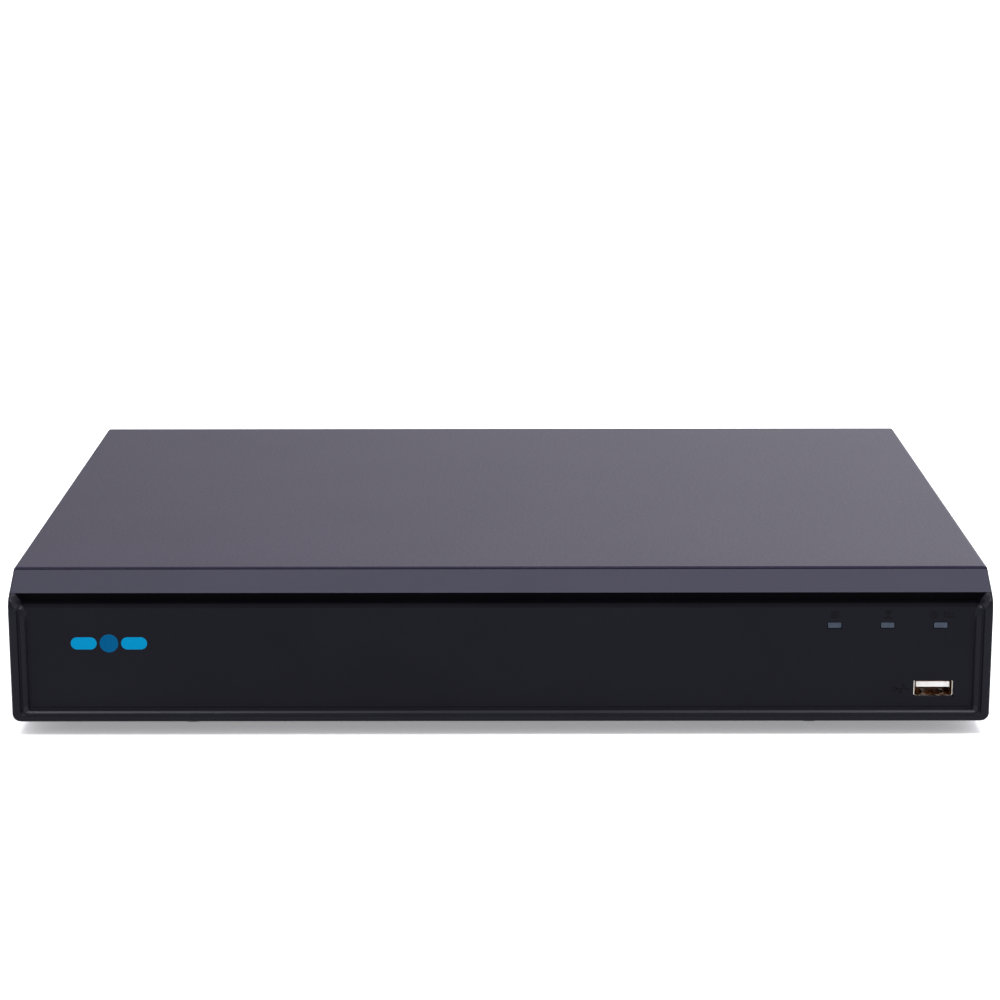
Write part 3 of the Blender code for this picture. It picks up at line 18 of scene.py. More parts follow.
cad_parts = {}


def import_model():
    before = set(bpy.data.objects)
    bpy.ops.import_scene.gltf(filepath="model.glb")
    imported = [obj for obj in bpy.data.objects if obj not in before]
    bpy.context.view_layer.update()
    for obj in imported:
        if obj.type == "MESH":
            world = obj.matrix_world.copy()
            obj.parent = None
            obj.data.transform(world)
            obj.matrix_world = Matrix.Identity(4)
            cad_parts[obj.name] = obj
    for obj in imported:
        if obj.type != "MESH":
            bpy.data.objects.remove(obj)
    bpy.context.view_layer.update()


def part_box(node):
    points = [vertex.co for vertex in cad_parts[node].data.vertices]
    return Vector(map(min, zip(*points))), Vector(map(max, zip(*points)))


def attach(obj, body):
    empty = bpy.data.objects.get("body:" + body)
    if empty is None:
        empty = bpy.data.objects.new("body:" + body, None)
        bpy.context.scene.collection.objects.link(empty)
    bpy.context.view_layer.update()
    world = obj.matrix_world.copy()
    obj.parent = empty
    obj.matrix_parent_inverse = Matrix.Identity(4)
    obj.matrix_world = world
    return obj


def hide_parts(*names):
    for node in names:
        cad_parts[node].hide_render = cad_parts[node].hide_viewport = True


LOG = logging.getLogger("recorder")
MM = 0.001
# Bands that a wave texture of scale 1 draws in a metre, and rings when their pitch is doubled
BANDS_IN_A_METRE = 3.2
RINGS_IN_A_METRE = 6.3

Tree = bpy.types.NodeTree
Socket = bpy.types.NodeSocket
Pattern = tuple[Socket, Socket, Socket]
Place = tuple[float, float, float]


# ---------------------------------------------------------------- colour and nodes


def linear(colour: str) -> tuple[float, float, float, float]:
    """Turn an sRGB hex colour into linear values.

    Args:
        colour: six hex digits after a hash.

    Returns:
        Red, green, blue and an alpha of one.
    """
    parts = np.array([int(colour[i : i + 2], 16) for i in (1, 3, 5)]) / 255
    curved = np.where(parts <= 0.04045, parts / 12.92, ((parts + 0.055) / 1.055) ** 2.4)
    return (*(float(c) for c in curved), 1.0)


def node(
    tree: Tree,
    kind: str,
    values: dict | None = None,
    links: dict | None = None,
    **options: object,
) -> bpy.types.Node:
    """Add a node with its settings and links.

    Args:
        tree: the tree that it joins.
        kind: the node's type.
        values: input name or number to its value.
        links: input name or number to the output that feeds it.
        options: the node's own settings.

    Returns:
        The node.
    """
    made = tree.nodes.new(kind)
    for name, value in options.items():
        setattr(made, name, value)
    for name, value in (values or {}).items():
        made.inputs[name].default_value = value
    for name, source in (links or {}).items():
        tree.links.new(source, made.inputs[name])
    return made


def ramp(
    tree: Tree,
    value: Socket,
    start: float,
    end: float,
    low: float = 0.0,
    high: float = 1.0,
    easing: str = "LINEAR",
) -> Socket:
    """Move a value from one range to another and hold it at the ends.

    Args:
        tree: the tree that the node joins.
        value: the output to move.
        start: where its range starts.
        end: where its range ends.
        low: the result at the start.
        high: the result at the end.
        easing: linear, or eased at both ends.

    Returns:
        The moved value.
    """
    ends = {"From Min": start, "From Max": end, "To Min": low, "To Max": high}
    made = node(tree, "ShaderNodeMapRange", ends, {"Value": value}, interpolation_type=easing)
    return made.outputs["Result"]


# ---------------------------------------------------------------- finishes


@dataclass(frozen=True)
class Finish:
    """A surface as it is made: two close tones, a gloss that wanders and a fine relief.

    Grain, relief and mottle are millimetres: the size of the fine pattern, its height, and the
    size of the wide pattern. Stretch draws the grain out along an axis.
    """

    name: str
    colour: str
    second: str
    roughness: float
    spread: float = 0.05
    grain: float = 0.6
    relief: float = 0.02
    mottle: float = 30.0
    metallic: float = 0.0
    specular: float = 0.5
    tint: str = "#ffffff"
    glow: float = 0.0
    stretch: Place = (1.0, 1.0, 1.0)

    def material(self) -> bpy.types.Material:
        """The Blender material, made when it is first asked for."""
        made = bpy.data.materials.get(self.name)
        if made is None:
            made = bpy.data.materials.new(self.name)
            made.use_nodes = True
            made.diffuse_color = linear(self.colour)
            self.build(made.node_tree)
        return made

    def build(self, tree: Tree) -> None:
        """Wire coordinates, pattern, relief and shader together."""
        tree.nodes.clear()
        place = node(tree, "ShaderNodeTexCoord").outputs["Object"]
        colour, rough, height = self.pattern(tree, place)
        depth = {"Strength": 1.0, "Distance": self.relief * MM}
        bump = node(tree, "ShaderNodeBump", depth, {"Height": height})
        values = {
            "Metallic": self.metallic,
            "Specular IOR Level": self.specular,
            "Specular Tint": linear(self.tint),
            "Emission Color": linear(self.colour),
            "Emission Strength": self.glow,
        }
        links = {"Base Color": colour, "Roughness": rough, "Normal": bump.outputs["Normal"]}
        shader = node(tree, "ShaderNodeBsdfPrincipled", values, links)
        node(tree, "ShaderNodeOutputMaterial", links={"Surface": shader.outputs["BSDF"]})

    def noise(self, tree: Tree, place: Socket, size: float, detail: float = 3.0) -> Socket:
        """Soft noise whose lumps are about that many millimetres across."""
        values = {"Scale": 1 / (size * MM), "Detail": detail, "Roughness": 0.55}
        return node(tree, "ShaderNodeTexNoise", values, {"Vector": place}).outputs["Fac"]

    def mixed(self, tree: Tree, factor: Socket) -> Socket:
        """The two tones, blended by a factor."""
        tones = {6: linear(self.colour), 7: linear(self.second)}
        return node(tree, "ShaderNodeMix", tones, {0: factor}, data_type="RGBA").outputs[2]

    def mottled(self, tree: Tree, factor: Socket) -> Socket:
        """The two tones in soft patches, where the factor crosses its middle."""
        return self.mixed(tree, ramp(tree, factor, 0.35, 0.65))

    def gloss(self, tree: Tree, factor: Socket, start: float = 0.3, end: float = 0.7) -> Socket:
        """Roughness that wanders by the spread to either side of its mean."""
        low, high = self.roughness - self.spread, self.roughness + self.spread
        return ramp(tree, factor, start, end, low, high)

    def pattern(self, tree: Tree, place: Socket) -> Pattern:
        """Colour, roughness and height: wide soft mottling under a fine grain."""
        drawn = node(tree, "ShaderNodeMapping", {"Scale": self.stretch}, {"Vector": place})
        wide = self.noise(tree, place, self.mottle, 2.0)
        fine = self.noise(tree, drawn.outputs["Vector"], self.grain, 4.0)
        return self.mottled(tree, wide), self.gloss(tree, fine), fine


@dataclass(frozen=True)
class CastFinish(Finish):
    """Die-cast metal: pebbled skin with faint flow marks."""

    def pattern(self, tree: Tree, place: Socket) -> Pattern:
        """Cells of the cast skin set the height, wide noise the tone."""
        scale = {"Scale": 1 / (self.grain * MM)}
        cells = node(tree, "ShaderNodeTexVoronoi", scale, {"Vector": place}).outputs["Distance"]
        wide = self.noise(tree, place, self.mottle, 4.0)
        return self.mottled(tree, wide), self.gloss(tree, wide), cells


@dataclass(frozen=True)
class BoardFinish(Finish):
    """Solder mask over etched copper: tracks show as lighter, slightly raised lanes."""

    lane: float = 1.27
    field_size: float = 18.0

    def lanes(self, tree: Tree, place: Socket, direction: str) -> Socket:
        """Parallel tracks, the crests of a wave."""
        scale = {"Scale": 1 / (self.lane * MM * BANDS_IN_A_METRE), "Distortion": 0.0}
        wave = node(tree, "ShaderNodeTexWave", scale, {"Vector": place}, bands_direction=direction)
        return ramp(tree, wave.outputs["Fac"], 0.62, 0.7)

    def pattern(self, tree: Tree, place: Socket) -> Pattern:
        """Tracks are the bands of two crossing waves, chosen by large square regions."""
        waves = [self.lanes(tree, place, direction) for direction in ("X", "Y")]
        cells = {"Scale": 1 / (self.field_size * MM), "Randomness": 0.6}
        region = node(
            tree, "ShaderNodeTexVoronoi", cells, {"Vector": place}, distance="CHEBYCHEV"
        ).outputs["Color"]
        split = node(tree, "ShaderNodeSeparateColor", links={"Color": region})
        crossing = {0: ramp(tree, split.outputs["Red"], 0.49, 0.51), 2: waves[0], 3: waves[1]}
        lanes = node(tree, "ShaderNodeMix", links=crossing, data_type="FLOAT").outputs[0]
        routed = {0: lanes, 1: ramp(tree, split.outputs["Green"], 0.3, 0.32)}
        shown = node(tree, "ShaderNodeMath", links=routed, operation="MULTIPLY").outputs[0]
        wide = self.noise(tree, place, self.mottle)
        return self.mixed(tree, shown), self.gloss(tree, wide), shown


@dataclass(frozen=True)
class RingFinish(Finish):
    """Turned or polished metal: fine rings round one upright axis."""

    centre: tuple[float, float] = (0.0, 0.0)

    def pattern(self, tree: Tree, place: Socket) -> Pattern:
        """Rings of a wave centred on the axis by a Mapping node."""
        moved = {"Location": (-self.centre[0] * MM, -self.centre[1] * MM, 0)}
        centred = node(tree, "ShaderNodeMapping", moved, {"Vector": place}).outputs["Vector"]
        rings = node(
            tree,
            "ShaderNodeTexWave",
            {"Scale": 1 / (self.grain * MM * RINGS_IN_A_METRE), "Distortion": 0.4},
            {"Vector": centred},
            wave_type="RINGS",
            rings_direction="Z",
        ).outputs["Fac"]
        wide = self.noise(tree, place, self.mottle)
        return self.mottled(tree, wide), self.gloss(tree, rings, 0.2, 0.8), rings


# Epoxy powder coat on steel, baked with a fine texture: near-black with a violet cast, its
# sheen opens up at a low angle
POWDER = Finish(
    "powder_coated_steel", "#1c1926", "#1f1c29", 0.40, 0.04, grain=0.9, relief=0.035,
    mottle=45.0, specular=0.405, tint="#dad0ff",
)
# The same coat on the rear panel, laid a little thicker
POWDER_REAR = Finish(
    "powder_coated_rear_panel", "#1a191f", "#1e1c24", 0.46, 0.05, grain=0.8, relief=0.05,
    mottle=30.0, specular=0.45, tint="#eae4ff",
)
# ABS from a spark-eroded mould: satin, catches the light from above
ABS_SATIN = Finish(
    "moulded_abs_satin", "#14131b", "#17161f", 0.42, 0.04, grain=0.5, relief=0.02,
    mottle=60.0, specular=0.31, tint="#dcd8ff",
)
# ABS from a fine-ground mould: the rims and ridges keep a soft shine
ABS_RIM = Finish(
    "moulded_abs_rim", "#0f0f13", "#111116", 0.34, 0.03, grain=0.7, relief=0.012,
    mottle=40.0, specular=0.09, tint="#ece8ff",
)
# ABS from a polished edge of the mould: the ridge and the corner facets take a highlight
ABS_RIDGE = Finish(
    "moulded_abs_ridge", "#0d0d11", "#0f0f14", 0.29, 0.02, grain=0.7, relief=0.006,
    mottle=40.0, specular=0.17, tint="#f4f0ff",
)
# ABS from a blasted mould: flat, light-trapping face
ABS_FLAT = Finish(
    "moulded_abs_flat", "#0e0e13", "#101015", 0.45, 0.04, grain=0.5, relief=0.015,
    mottle=50.0, specular=0.055, tint="#eeeaff",
)
# The same ABS inside the undercut, painted near-black with almost no shine: painted shade under the visor
ABS_UNDERCUT_SHADE = Finish(
    "moulded_abs_undercut_painted_shade", "#030305", "#040406", 0.6, 0.03, grain=0.6, relief=0.01,
    mottle=30.0, specular=0.01,
)
# The same ABS on the ledge between undercut and panel, painted darker and duller than the panel: painted
# shade that dims the light the ledge would catch
ABS_LEDGE_SHADE = Finish(
    "moulded_abs_ledge_painted_shade", "#09090d", "#0b0b0f", 0.5, 0.03, grain=0.6, relief=0.01,
    mottle=30.0, specular=0.032,
)
# Glass-filled nylon and PBT, moulded: dull black with a faint grey bloom
PBT_BLACK = Finish(
    "moulded_pbt_black", "#121214", "#1a1a1d", 0.48, 0.07, grain=0.4, relief=0.02, mottle=6.0,
)
PBT_BLUE = Finish("moulded_pbt_blue", "#1c3f9c", "#22489f", 0.42, 0.05, grain=0.5, mottle=5.0)
PBT_WHITE = Finish("moulded_pbt_white", "#e9e8e4", "#dedcd6", 0.36, 0.04, grain=0.5, mottle=5.0,
                   relief=0.008)
PBT_RED = Finish("moulded_pbt_red", "#a81d1f", "#9a1a1d", 0.38, 0.04, grain=0.5, mottle=5.0)
NYLON_GREEN = Finish("moulded_nylon_green", "#1f7a43", "#1b6e3c", 0.45, 0.05, grain=0.5, mottle=6.0)
# PVC jackets of the leads, extruded: a soft sheen
PVC_RED = Finish("extruded_pvc_red", "#a3201f", "#93191b", 0.4, 0.06, grain=1.2, mottle=9.0)
PVC_BLACK = Finish("extruded_pvc_black", "#17171a", "#1e1e22", 0.45, 0.06, grain=1.2, mottle=9.0)
FLAT_CABLE = Finish(
    "laminated_flat_cable", "#e4e3df", "#a9a8a6", 0.4, 0.05, grain=1.0, mottle=1.0,
    stretch=(1.0, 0.05, 1.0),
)
# Nitrile rubber, compression moulded: dead matt, dusty
NITRILE = Finish("moulded_nitrile_rubber", "#17171a", "#202024", 0.82, 0.07, grain=0.5,
                 relief=0.05, mottle=4.0, specular=0.3)
# Zinc plate with clear passivation: cool grey with a faint bloom
ZINC = Finish("zinc_plated_steel", "#a9adb5", "#b9bcc2", 0.34, 0.09, grain=1.5, relief=0.006,
              mottle=8.0, metallic=1.0)
# Barrel nickel plate: warm white metal
NICKEL = Finish("nickel_plated_brass", "#c9c5bb", "#bdb8ad", 0.22, 0.06, grain=0.8, relief=0.004,
                mottle=3.0, metallic=1.0)
# Tin plate in dark brown: the inner walls of the USB sockets, the screw slots and the clamps of the terminal
# block
TIN_DARK = Finish("dark_brown_tin_plate", "#8f5429", "#4c2a14", 0.3, 0.08, grain=0.6,
                  relief=0.01, mottle=2.2, metallic=0.8)
# Flash of gold on the contacts
GOLD = Finish("gold_flashed_bronze", "#d8a648", "#cc9a40", 0.25, 0.05, grain=0.5, relief=0.002,
              mottle=1.5, metallic=1.0)
# PTFE, turned: waxy white
PTFE = Finish("turned_ptfe", "#efece4", "#e5e1d7", 0.42, 0.05, grain=0.5, mottle=3.0)
# Polycarbonate light guide with a frosted face
FROSTED = Finish("frosted_polycarbonate", "#272f3b", "#2c3542", 0.38, 0.05, grain=0.4,
                 relief=0.01, mottle=2.0, specular=0.2)
LAMP_GREEN = Finish("clear_green_lens", "#5f9c4c", "#78b062", 0.2, 0.03, mottle=2.0)
LAMP_AMBER = Finish("clear_amber_lens", "#c98a2a", "#d99b3c", 0.2, 0.03, mottle=2.0)
# Pad-printed inks
INK_LIGHT = Finish("printed_ink_light_blue", "#00739e", "#006c94", 0.45, 0.03, grain=0.4,
                   relief=0.003, specular=0.02)
INK_DEEP = Finish("printed_ink_deep_blue", "#00476e", "#004267", 0.45, 0.03, grain=0.4,
                  relief=0.003, specular=0.02)
INK_SHADOW = Finish("printed_ink_shadow", "#08080b", "#09090c", 0.5, 0.02, relief=0.002,
                    specular=0.05)
INK_WHITE = Finish("printed_ink_white", "#c9c9cb", "#bfbfc2", 0.5, 0.03, grain=0.3,
                   relief=0.003, specular=0.3)
# Liquid photo-imaged solder mask on glass-epoxy board
BOARD = BoardFinish("solder_mask_green", "#0d4a2b", "#1b6b40", 0.34, 0.05, relief=0.03, mottle=15.0)
EPOXY = Finish("moulded_epoxy_package", "#1c1c1e", "#232326", 0.5, 0.05, grain=0.3, mottle=4.0)
# Die-cast and machined aluminium
CAST = CastFinish("die_cast_aluminium", "#9b9d9f", "#8d8f92", 0.42, 0.06, grain=0.9, relief=0.03,
                  mottle=12.0, metallic=1.0)
ANODISED = Finish("anodised_aluminium_black", "#1b1b1e", "#222226", 0.4, 0.05, grain=0.8,
                  relief=0.01, mottle=8.0, metallic=1.0, stretch=(1.0, 0.05, 1.0))
PLATTER = RingFinish("polished_glass_disk", "#c9cbcd", "#c2c4c7", 0.08, 0.03, grain=0.8,
                     relief=0.0005, mottle=30.0, metallic=1.0, centre=(-101.0, -54.2))
FLOOR = Finish("matt_white_paper", "#f4f4f5", "#f4f4f5", 0.9, 0.02, grain=2.0, relief=0.0,
               mottle=400.0, specular=0.0, glow=0.3)


# ---------------------------------------------------------------- surfaces


class Facing(Enum):
    """Where a piece's own axis points. The value is its right, up and axis directions."""

    UP = ((1, 0, 0), (0, 1, 0), (0, 0, 1))
    DOWN = ((1, 0, 0), (0, -1, 0), (0, 0, -1))
    FRONT = ((1, 0, 0), (0, 0, 1), (0, -1, 0))
    BACK = ((-1, 0, 0), (0, 0, 1), (0, 1, 0))
    RIGHT = ((0, 1, 0), (0, 0, 1), (1, 0, 0))
    LEFT = ((0, -1, 0), (0, 0, 1), (-1, 0, 0))


@dataclass
class Surface:
    """Points, polygons of each size, and the finish number of each polygon."""

    points: np.ndarray
    polygons: list[np.ndarray]
    groups: list[np.ndarray] = field(default_factory=list)

    def __post_init__(self) -> None:
        """Give every polygon finish 0 where none is named."""
        if not self.groups:
            self.groups = [np.zeros(len(p), int) for p in self.polygons]

    def painted(self, group: int) -> "Surface":
        """The same surface with one finish number."""
        return Surface(self.points, self.polygons, [np.full(len(p), group) for p in self.polygons])

    def placed(self, at: Place, facing: Facing = Facing.UP) -> "Surface":
        """The surface turned so that its axis points that way, then moved.

        Args:
            at: where its own origin goes, in millimetres.
            facing: the way its axis points.

        Returns:
            The moved surface.
        """
        turned = self.points @ np.array(facing.value, float)
        return Surface(turned + np.array(at, float), self.polygons, self.groups)

    def joined(self, *others: "Surface") -> "Surface":
        """This surface and others as one, each an island of its own."""
        points, polygons, groups = [self.points], list(self.polygons), list(self.groups)
        offset = len(self.points)
        for other in others:
            points.append(other.points)
            polygons += [p + offset for p in other.polygons]
            groups += other.groups
            offset += len(other.points)
        return Surface(np.concatenate(points), polygons, groups)


def together(parts: list[Surface]) -> Surface:
    """Several surfaces as one."""
    return parts[0].joined(*parts[1:])


def grid_quads(
    rows: int, columns: int, wrap_rows: bool = False, wrap_columns: bool = False
) -> np.ndarray:
    """Corner numbers of the quads of a grid of points.

    Args:
        rows: how many rows of points.
        columns: how many points in a row.
        wrap_rows: join the last row to the first.
        wrap_columns: join the last column to the first.

    Returns:
        An array of four numbers for each quad.
    """
    down = np.arange(rows if wrap_rows else rows - 1)[:, None]
    along = np.arange(columns if wrap_columns else columns - 1)[None, :]
    below, beside = (down + 1) % rows, (along + 1) % columns
    corners = [(down, along), (down, beside), (below, beside), (below, along)]
    return np.stack([(row * columns + column).ravel() for row, column in corners], axis=1)


def end_caps(rows: int, columns: int) -> np.ndarray:
    """Corner numbers of the two polygons that close the first and the last ring of a grid."""
    ring = np.arange(columns)
    return np.stack([ring[::-1], (rows - 1) * columns + ring])


def levels(stations: list[tuple[np.ndarray, float]]) -> np.ndarray:
    """Rings of points, each an outline at its height."""
    return np.stack([np.column_stack([outline, np.full(len(outline), h)]) for outline, h in stations])


def read_off(value: np.ndarray, section: list[tuple[float, float]]) -> np.ndarray:
    """Values read off a section given as points of place and value, straight between them."""
    places, values = zip(*section)
    return np.interp(value, places, values)


def lathe(
    profile: list[tuple[float, float]], steps: int = 48, ring: bool = False, phase: float = 0.0
) -> Surface:
    """A profile turned about its axis.

    Each point (r, h) of the profile goes to (r cos t, r sin t, h) for t round the circle.

    Args:
        profile: radius and height of each point, in order.
        steps: how many stations round the circle.
        ring: the profile is a closed loop, so there are no end caps.
        phase: the angle of the first station.

    Returns:
        The turned surface, its ends capped.
    """
    shape = np.array(profile, float)
    t = phase + np.linspace(0, 2 * pi, steps, endpoint=False)
    radius, height = shape[:, :1], np.repeat(shape[:, 1:], steps, axis=1)
    points = np.stack([radius * np.cos(t), radius * np.sin(t), height], axis=-1)
    rows = len(shape)
    polygons = [grid_quads(rows, steps, wrap_rows=ring, wrap_columns=True)]
    if not ring:
        polygons.append(end_caps(rows, steps))
    return Surface(points.reshape(-1, 3), polygons)


def rounded_outline(width: float, height: float, radius: float, count: int = 6) -> np.ndarray:
    """The outline of a rectangle with round corners, about its middle.

    A corner's points are its centre plus the radius times (cos t, sin t) over a quarter turn.
    """
    t = np.linspace(0, pi / 2, count)
    x, y = width / 2 - radius, height / 2 - radius
    arcs = [
        np.stack([cx + radius * np.cos(t + turn), cy + radius * np.sin(t + turn)], axis=1)
        for cx, cy, turn in ((x, y, 0), (-x, y, pi / 2), (-x, -y, pi), (x, -y, 3 * pi / 2))
    ]
    return np.concatenate(arcs)


def circle_outline(radius: float, count: int = 40, phase: float = 0.0) -> np.ndarray:
    """Points evenly round a circle."""
    t = phase + np.linspace(0, 2 * pi, count, endpoint=False)
    return radius * np.stack([np.cos(t), np.sin(t)], axis=1)


def inset(outline: np.ndarray, distance: float) -> np.ndarray:
    """An outline moved inwards along the mean normal of its two sides at each point."""
    before = outline - np.roll(outline, 1, axis=0)
    after = np.roll(outline, -1, axis=0) - outline
    before /= np.maximum(np.linalg.norm(before, axis=1, keepdims=True), 1e-9)
    after /= np.maximum(np.linalg.norm(after, axis=1, keepdims=True), 1e-9)
    inward = np.stack([-(before + after)[:, 1], (before + after)[:, 0]], axis=1)
    length = np.maximum(np.linalg.norm(inward, axis=1, keepdims=True), 1e-9)
    cosine = np.clip(length / 2, 0.5, 1)
    return outline + inward / length * distance / cosine


def slab(outline: np.ndarray, low: float, high: float, edge: float = 0.2, steps: int = 3) -> Surface:
    """An outline pushed along its axis, with rounded upper and lower edges.

    The edge is a quarter circle: at angle t the outline is inset by edge (1 - cos t) and lies
    edge sin t beyond the straight part of the wall.

    Args:
        outline: points anticlockwise.
        low: lower height.
        high: upper height.
        edge: radius of the edges.
        steps: stations in each quarter circle.

    Returns:
        The closed surface.
    """
    t = np.linspace(0, pi / 2, steps + 1)
    drawn = edge * (1 - np.cos(t))
    beyond = edge * np.sin(t)
    insets = np.concatenate([drawn[::-1], drawn])
    heights = np.concatenate([low + edge - beyond[::-1], high - edge + beyond])
    rings = levels([(inset(outline, i), h) for i, h in zip(insets, heights)])
    rows, columns = rings.shape[:2]
    quads = grid_quads(rows, columns, wrap_columns=True)
    return Surface(rings.reshape(-1, 3), [quads, end_caps(rows, columns)])


def tube(outer: np.ndarray, inner: np.ndarray, low: float, high: float, edge: float = 0.1) -> Surface:
    """The wall between two outlines of equal count, with eased edges.

    The closed section runs up the outer side, over the eased edge and down the inner side.
    """
    section = [
        (outer, low + edge), (outer, high - edge), (inset(outer, edge), high),
        (inset(inner, -edge), high), (inner, high - edge), (inner, low + edge),
        (inset(inner, -edge), low), (inset(outer, edge), low),
    ]
    rings = levels(section)
    rows, columns = rings.shape[:2]
    return Surface(rings.reshape(-1, 3), [grid_quads(rows, columns, wrap_rows=True, wrap_columns=True)])


def rod(path: np.ndarray, radius: float, steps: int = 14) -> Surface:
    """A round section carried along a path.

    At each station the section is radius (cos t, sin t) in the plane across the path, whose
    side direction is worked out against one fixed direction so that it doesn't twist.
    """
    along = np.gradient(path, axis=0)
    along /= np.linalg.norm(along, axis=1, keepdims=True)
    fixed = np.array([0.3, 0.2, 1.0]) if abs(along[:, 2]).mean() < 0.8 else np.array([1.0, 0.2, 0.1])
    side = np.cross(along, fixed)
    side /= np.linalg.norm(side, axis=1, keepdims=True)
    up = np.cross(side, along)
    t = np.linspace(0, 2 * pi, steps, endpoint=False)
    ring = side[:, None] * np.cos(t)[None, :, None] + up[:, None] * np.sin(t)[None, :, None]
    points = path[:, None] + radius * ring
    quads = grid_quads(len(path), steps, wrap_columns=True)
    return Surface(points.reshape(-1, 3), [quads, end_caps(len(path), steps)])


def screw_head(radius: float, dome: float, cross: float, depth: float, skirt: float) -> Surface:
    """A screw head with a cross recess, as a height over the polar plane.

    The height is the dome (1 - (r / radius) squared) less the depth wherever the point lies in
    one of two crossing bars that taper towards their ends.

    Args:
        radius: of the head.
        dome: rise of the middle over the rim.
        cross: half length of the recess.
        depth: of the recess in the middle.
        skirt: height of the head's side.

    Returns:
        The head, its rim at height 0 and its underside closed.
    """
    centre_hole, wall_softness, end_softness = 0.02, 0.02, 0.03
    r = np.concatenate([[centre_hole], np.linspace(0.08, 1, 26)]) * radius
    t = np.linspace(0, 2 * pi, 96, endpoint=False)
    x, y = r[:, None] * np.cos(t), r[:, None] * np.sin(t)
    reach = np.hypot(x, y)
    half = 0.17 * radius * (1.25 - 0.45 * reach / cross)
    nearest = np.minimum(abs(x), abs(y))
    inside = 1 / (1 + np.exp((nearest - half) / (wall_softness * radius)))
    ends = 1 / (1 + np.exp((reach - cross) / (end_softness * radius)))
    height = dome * (1 - (reach / radius) ** 2) - depth * inside * ends * (1 - 0.55 * reach / cross)
    top = np.stack([x, y, height], axis=-1)
    side = top[-1:].copy()
    side[..., 2] = -skirt
    points = np.concatenate([side, top])
    quads = grid_quads(len(points), len(t), wrap_columns=True)
    return Surface(points.reshape(-1, 3), [quads, end_caps(len(points), len(t))])


def piece(
    name: str,
    surface: Surface,
    finishes: list[Finish],
    body: str = "case",
    stands_for: tuple[str, ...] = (),
    sharp: float = 32.0,
) -> bpy.types.Object:
    """Make an object of a surface and let it ride on a CAD body.

    Args:
        name: the piece's name.
        surface: its shape, in millimetres.
        finishes: its finishes, by number.
        body: the CAD body that it moves with.
        stands_for: the CAD nodes that it replaces.
        sharp: edges sharper than this, in degrees, stay crisp.

    Returns:
        The object, at the origin.
    """
    mesh = bpy.data.meshes.new(name)
    faces = [face for polygons in surface.polygons for face in polygons.tolist()]
    mesh.from_pydata((surface.points * MM).tolist(), [], faces)
    mesh.polygons.foreach_set("material_index", np.concatenate(surface.groups))
    for finish in finishes:
        mesh.materials.append(finish.material())
    shape = bmesh.new()
    shape.from_mesh(mesh)
    bmesh.ops.remove_doubles(shape, verts=shape.verts, dist=0.0005 * MM)
    bmesh.ops.recalc_face_normals(shape, faces=shape.faces)
    shape.to_mesh(mesh)
    shape.free()
    mesh.shade_smooth()
    mesh.set_sharp_from_angle(angle=radians(sharp))
    made = bpy.data.objects.new(name, mesh)
    bpy.context.scene.collection.objects.link(made)
    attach(made, body)
    if stands_for:
        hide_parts(*stands_for)
    LOG.info("piece %s: %d faces", name, len(mesh.polygons))
    return made


def middle(name: str) -> np.ndarray:
    """The middle of a CAD node's box, in millimetres."""
    low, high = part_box(name)
    return np.array((low + high) / 2) / MM


def corners(name: str) -> tuple[np.ndarray, np.ndarray]:
    """The lowest and highest corner of a CAD node's box, in millimetres."""
    low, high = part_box(name)
    return np.array(low) / MM, np.array(high) / MM


def mouth(name: str) -> Place:
    """The middle of a CAD node's rearmost face, in millimetres."""
    low, high = corners(name)
    return (low[0] + high[0]) / 2, high[1], (low[2] + high[2]) / 2


# ---------------------------------------------------------------- front


